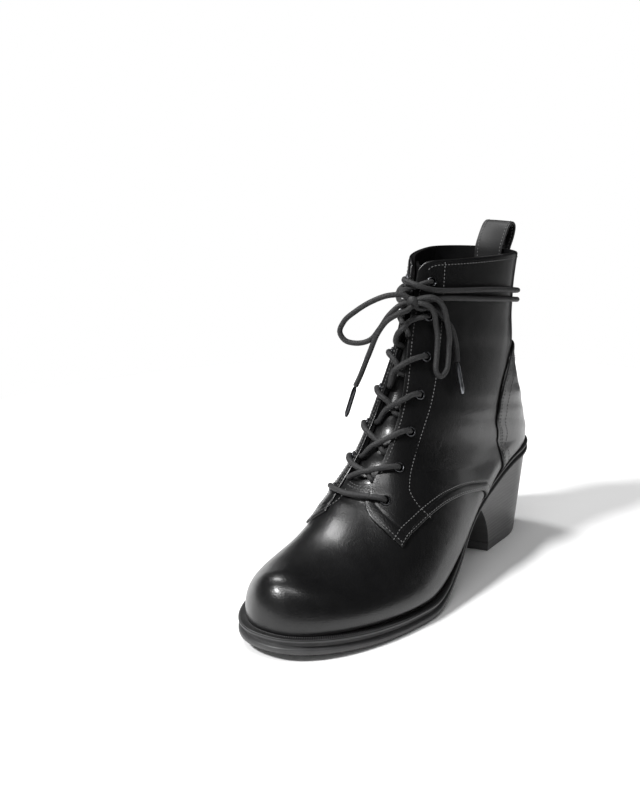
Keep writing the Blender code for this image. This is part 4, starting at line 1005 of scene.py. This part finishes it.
run = np.gradient(centre, axis=0)
run /= np.linalg.norm(run, axis=1, keepdims=True)
square = np.stack([run[:, 1], -run[:, 0]], -1)
middle = np.array([0, (back_of[0, 1] + last(0.0, 0.0)[1]) / 2, 0])
spin = np.array([[np.cos(LOOP_TURN), np.sin(LOOP_TURN), 0], [-np.sin(LOOP_TURN), np.cos(LOOP_TURN), 0], [0, 0, 1]])


def on_loop(offset, out):
    """Points of the strip at an offset from its middle line and a height out of it."""
    x = offset + 0 * steps
    y, z = (centre + square * (out + 0 * steps)[:, None]).T
    return (np.stack([x, y - bent * (LOOP_CURL - np.sqrt(LOOP_CURL**2 - x**2)), z], -1) - middle) @ spin.T + middle


offsets = LOOP_WIDTH / 2 * np.r_[-1, -0.985, -0.95, np.linspace(-0.85, 0.85, 15), 0.95, 0.985, 1]
half = LOOP_THICK / 2 * (1 - 0.45 * worn_edge(LOOP_WIDTH / 2 - abs(offsets), 0.0006))
dent = 0.00012 * np.exp(-((abs(offsets) - LOOP_WIDTH / 2 + LOOP_SEAM) / 0.0008) ** 2)
high = np.stack([on_loop(x, h - d) for x, h, d in zip(offsets, half, dent)], 1)
low = np.stack([on_loop(x, -h + d) for x, h, d in zip(offsets, half, dent)], 1)
sheet_solid("pull_loop_strip", high, low, loop_leather, ("pull_loop",), sharp=60)


# stitches
PITCH = 0.0021
STITCH_LENGTH = PITCH * 0.62
STITCH_RADIUS = 0.00028
STITCH_LIFT = 0.00005


def moved_line(line, sign, distance):
    """A line of stations and girths moved across the surface, to the left of its run seen from outside."""
    u, g = line[:, 0], sign * line[:, 1]
    where = last(u, g)
    span = np.where(abs(u - HEEL_STATION) < 0.06, 0.012, 0.002)
    normal = sum(outward(u + span * k, g) for k in (-1, 0, 1))
    normal /= np.linalg.norm(normal, axis=1, keepdims=True)
    run = np.gradient(where, axis=0)
    run /= np.linalg.norm(run, axis=1, keepdims=True)
    step = np.cross(normal, run) * distance
    by_u = (last(u + span, g) - last(u - span, g)) / (2 * span)[:, None]
    by_g = (last(u, g + span) - last(u, g - span)) / (2 * span)[:, None]
    a, b, c = (by_u * by_u).sum(-1), (by_u * by_g).sum(-1), (by_g * by_g).sum(-1)
    p, q = (by_u * step).sum(-1), (by_g * step).sum(-1)
    det = a * c - b * b
    moved = np.stack([u + (c * p - b * q) / det, sign * (g + (a * q - b * p) / det)], -1)
    for turn in range(6):
        moved[1:-1] = (moved[:-2] + 2 * moved[1:-1] + moved[2:]) / 4
    return moved


def counter_seam(side, distance, pitch):
    """A stitch row on the counter's own grid, at this distance from its edge."""
    values = [*counter_runs[side][:2], *np.moveaxis(counter_face[side], -1, 0)]
    rows = np.array([[np.interp(distance, run, row) for run, row in zip(counter_runs[side][2], value)]
                     for value in values])
    u, g, on = rows[0], rows[1], rows[2:].T
    normal = outward(u, g)
    for turn in range(12):
        normal[1:-1] = (normal[:-2] + 2 * normal[1:-1] + normal[2:]) / 4
    normal /= np.linalg.norm(normal, axis=1, keepdims=True)
    on = on + STITCH_LIFT * normal
    shown_rows = abs(g) < 0.985
    on, normal = on[shown_rows], normal[shown_rows]
    run = np.r_[0, np.cumsum(np.linalg.norm(np.diff(on, axis=0), axis=1))]
    at = np.arange(pitch / 2, run[-1], pitch)
    spots, ahead, behind = [np.stack([np.interp(at + step, run, on[:, c]) for c in range(3)], -1)
                            for step in (0, pitch / 4, -pitch / 4)]
    return spots, ahead - behind, np.stack([np.interp(at, run, normal[:, c]) for c in range(3)], -1)


def seam_points(line, sign, offset, pitch):
    fine = spaced(line, sign, 0.0004)
    on = creased(fine[:, 0], sign * fine[:, 1], offset + 0 * fine[:, 0])
    run = np.r_[0, np.cumsum(np.linalg.norm(np.diff(on, axis=0), axis=1))]
    at = np.arange(pitch / 2, run[-1], pitch)
    spots = np.stack([np.interp(at, run, on[:, c]) for c in range(3)], -1)
    ahead = np.stack([np.interp(at + pitch / 4, run, on[:, c]) - np.interp(at - pitch / 4, run, on[:, c])
                      for c in range(3)], -1)
    girth = np.interp(at, run, fine[:, 1])
    return spots, ahead, outward(np.interp(at, run, fine[:, 0]), sign * girth)


def stitched(name, seams):
    """Capsules of thread at these places, one piece."""
    turn = np.linspace(0, 2 * np.pi, 6, endpoint=False)
    shape = [(-0.5, 0.0, 0.0)]
    for along, wide in ((-0.40, 0.7), (0.0, 1.0), (0.40, 0.7)):
        shape += [(along, wide * np.cos(a), wide * np.sin(a)) for a in turn]
    shape = np.array(shape + [(0.5, 0.0, 0.0)])
    rings = [[1 + 6 * r + k for k in range(6)] for r in range(3)]
    faces = [[0, rings[0][(k + 1) % 6], rings[0][k]] for k in range(6)]
    faces += [[rings[r][k], rings[r][(k + 1) % 6], rings[r + 1][(k + 1) % 6], rings[r + 1][k]]
              for r in (0, 1) for k in range(6)]
    faces += [[19, rings[2][k], rings[2][(k + 1) % 6]] for k in range(6)]
    spots, ahead, normal = [np.concatenate([seam[c] for seam in seams]) for c in range(3)]
    ahead /= np.linalg.norm(ahead, axis=1, keepdims=True)
    side = np.cross(normal, ahead)
    side /= np.linalg.norm(side, axis=1, keepdims=True)
    up = np.cross(ahead, side)
    points = (spots[:, None] + shape[None, :, :1] * STITCH_LENGTH * ahead[:, None]
              + shape[None, :, 1:2] * STITCH_RADIUS * side[:, None] + shape[None, :, 2:] * STITCH_RADIUS * up[:, None])
    everything = [[a + 20 * k for a in face] for k in range(len(spots)) for face in faces]
    return add(name, points, everything, thread, sharp=0)


FACE = GAP + OVERLAY
COUNTER_ROWS = (0.0016, 0.0032, 0.0100)
THROAT_FOOT = np.array([(0.5425, -0.067), (0.5485, -0.02), (0.550, 0.029), (0.5495, 0.036)])
EYESTAY = np.array([
    (0.0075, 0.1625), (0.085, 0.179), (0.1875, 0.196), (0.2575, 0.196), (0.3125, 0.192), (0.375, 0.183), (0.450, 0.183),
    (0.5375, 0.196), (0.5625, 0.208), (0.5825, 0.233), (0.600, 0.267), (0.615, 0.308),
])


for side, sign, column in (("outer", 1, 1), ("inner", -1, 2)):
    seams = []
    stations = np.linspace(0.055, 0.585, 200)
    front = np.stack([stations, smooth(THROAT, column, stations)], -1)
    tab, lower = np.split(edge_line(QUARTER_EDGE, TAB_TIP, 12), [60])
    collar = np.stack([collar_drop(np.linspace(0.06, 0.97, 120), smooth(THROAT, column, 0.0)),
                       np.linspace(0.06, 0.97, 120)], -1)
    for line, distances, offset in (
        (front, (0.0020,), FACE), (tab, (0.0020,), FACE), (lower, (0.0012, 0.0062), FACE), (collar, (-0.0028,), FACE),
        (keyed_line(EYESTAY), (0.0,), FACE),
    ):
        for distance in distances:
            made = moved_line(line, sign, sign * distance) if distance else line
            made = made[(made[:, 0] > 0.004) & (abs(made[:, 1]) < 0.985)]
            seams.append(seam_points(made, sign, offset + STITCH_LIFT, PITCH))
    seams += [counter_seam(sign, distance, PITCH) for distance in COUNTER_ROWS]
    stitched("stitches_" + side, seams)
line = keyed_line(THROAT_FOOT)
stitched("stitches_throat", [seam_points(moved_line(line, 1, d), 1, STITCH_LIFT, PITCH) for d in (-0.0016, -0.0034)])
seams = []
for offset in (-LOOP_WIDTH / 2 + LOOP_SEAM, LOOP_WIDTH / 2 - LOOP_SEAM):
    for out in (-1, 1):
        path = on_loop(offset, out * LOOP_THICK / 2)
        run = np.r_[0, np.cumsum(np.linalg.norm(np.diff(path, axis=0), axis=1))]
        at = np.arange(0.001, run[-1] - 0.001, PITCH)
        spots, after, above = [np.stack([np.interp(at + d, run, source[:, c]) for c in range(3)], -1)
                               for d, source in ((0, path), (0.0004, path), (0, on_loop(offset, out * LOOP_THICK)))]
        seams.append((spots, after - spots, above - spots))
stitched("stitches_loop", seams)

# the insole keeps its solid and gets the lining's look
insole = bpy.data.objects["insole"]
if not insole.material_slots:
    insole.data.materials.append(lining)
for place in insole.material_slots:
    place.material = lining

# floor, surroundings and lights
FLOOR_RADIUS = 0.52
mesh = bpy.data.meshes.new("floor")
turn = np.linspace(0, 2 * np.pi, 64, endpoint=False)
rim = np.stack([FLOOR_RADIUS * np.cos(turn), FLOOR_RADIUS * np.sin(turn), -0.0002 + 0 * turn], -1)
mesh.from_pydata(rim.tolist(), [], [list(range(64))])
floor = bpy.data.objects.new("floor", mesh)
bpy.context.scene.collection.objects.link(floor)
floor_look, tree, shader = material("floor", (0.9, 0.9, 0.9), 0.75, specular=0.1)
tinted(tree, shader, noise(tree, 3), (0.90, 0.90, 0.90), (0.92, 0.92, 0.92))
mesh.materials.append(floor_look)

world = bpy.data.worlds.new("surroundings")
bpy.context.scene.world = world
world.use_nodes = True
tree = world.node_tree
backdrop = tree.nodes["Background"]
backdrop.inputs["Color"].default_value = (1, 1, 1, 1)
ways = tree.nodes.new("ShaderNodeLightPath")
# seen white, it lights the floor and the leather softly and shows only dimly in their gloss
diffuse = node(tree, "ShaderNodeMapRange", To_Min=0.02, To_Max=0.30)
tree.links.new(ways.outputs["Is Diffuse Ray"], diffuse.inputs["Value"])
brightest = tree.nodes.new("ShaderNodeMath")
brightest.operation = "MAXIMUM"
tree.links.new(diffuse.outputs["Result"], brightest.inputs[0])
tree.links.new(ways.outputs["Is Camera Ray"], brightest.inputs[1])
tree.links.new(brightest.outputs["Value"], backdrop.inputs["Strength"])

AIM = np.array([0.0, -0.07, 0.09])


def aimed(name, kind, azimuth, elevation, distance):
    """A light that looks at the boot; its azimuth is turned from straight ahead of the toe to the outer side."""
    turn, rise = np.radians((azimuth, elevation))
    away = np.array([np.sin(turn) * np.cos(rise), -np.cos(turn) * np.cos(rise), np.sin(rise)])
    side = np.cross((0, 0, 1), away)
    side /= np.linalg.norm(side)
    pose = np.eye(4)
    pose[:3, 0], pose[:3, 1], pose[:3, 2], pose[:3, 3] = side, np.cross(away, side), away, AIM + away * distance
    made = bpy.data.objects.new(name, bpy.data.lights.new(name, kind))
    made.matrix_world = Matrix(pose.tolist())
    bpy.context.scene.collection.objects.link(made)
    return made.data


sun = aimed("sun", "SUN", -20, 48, 2.0)
sun.energy = 3.5
sun.angle = np.radians(9)
for name, azimuth, elevation, distance, wide, tall, power in (
    ("box_left", -100, 54, 1.5, 0.26, 0.8, 11.0),
    ("box_above", 26, 60, 1.4, 0.75, 0.16, 4.0),
    ("strip_behind", 147, 0, 1.0, 0.09, 0.6, 0.4),
):
    box = aimed(name, "AREA", azimuth, elevation, distance)
    box.shape = "RECTANGLE"
    box.size, box.size_y = wide, tall
    box.energy = power
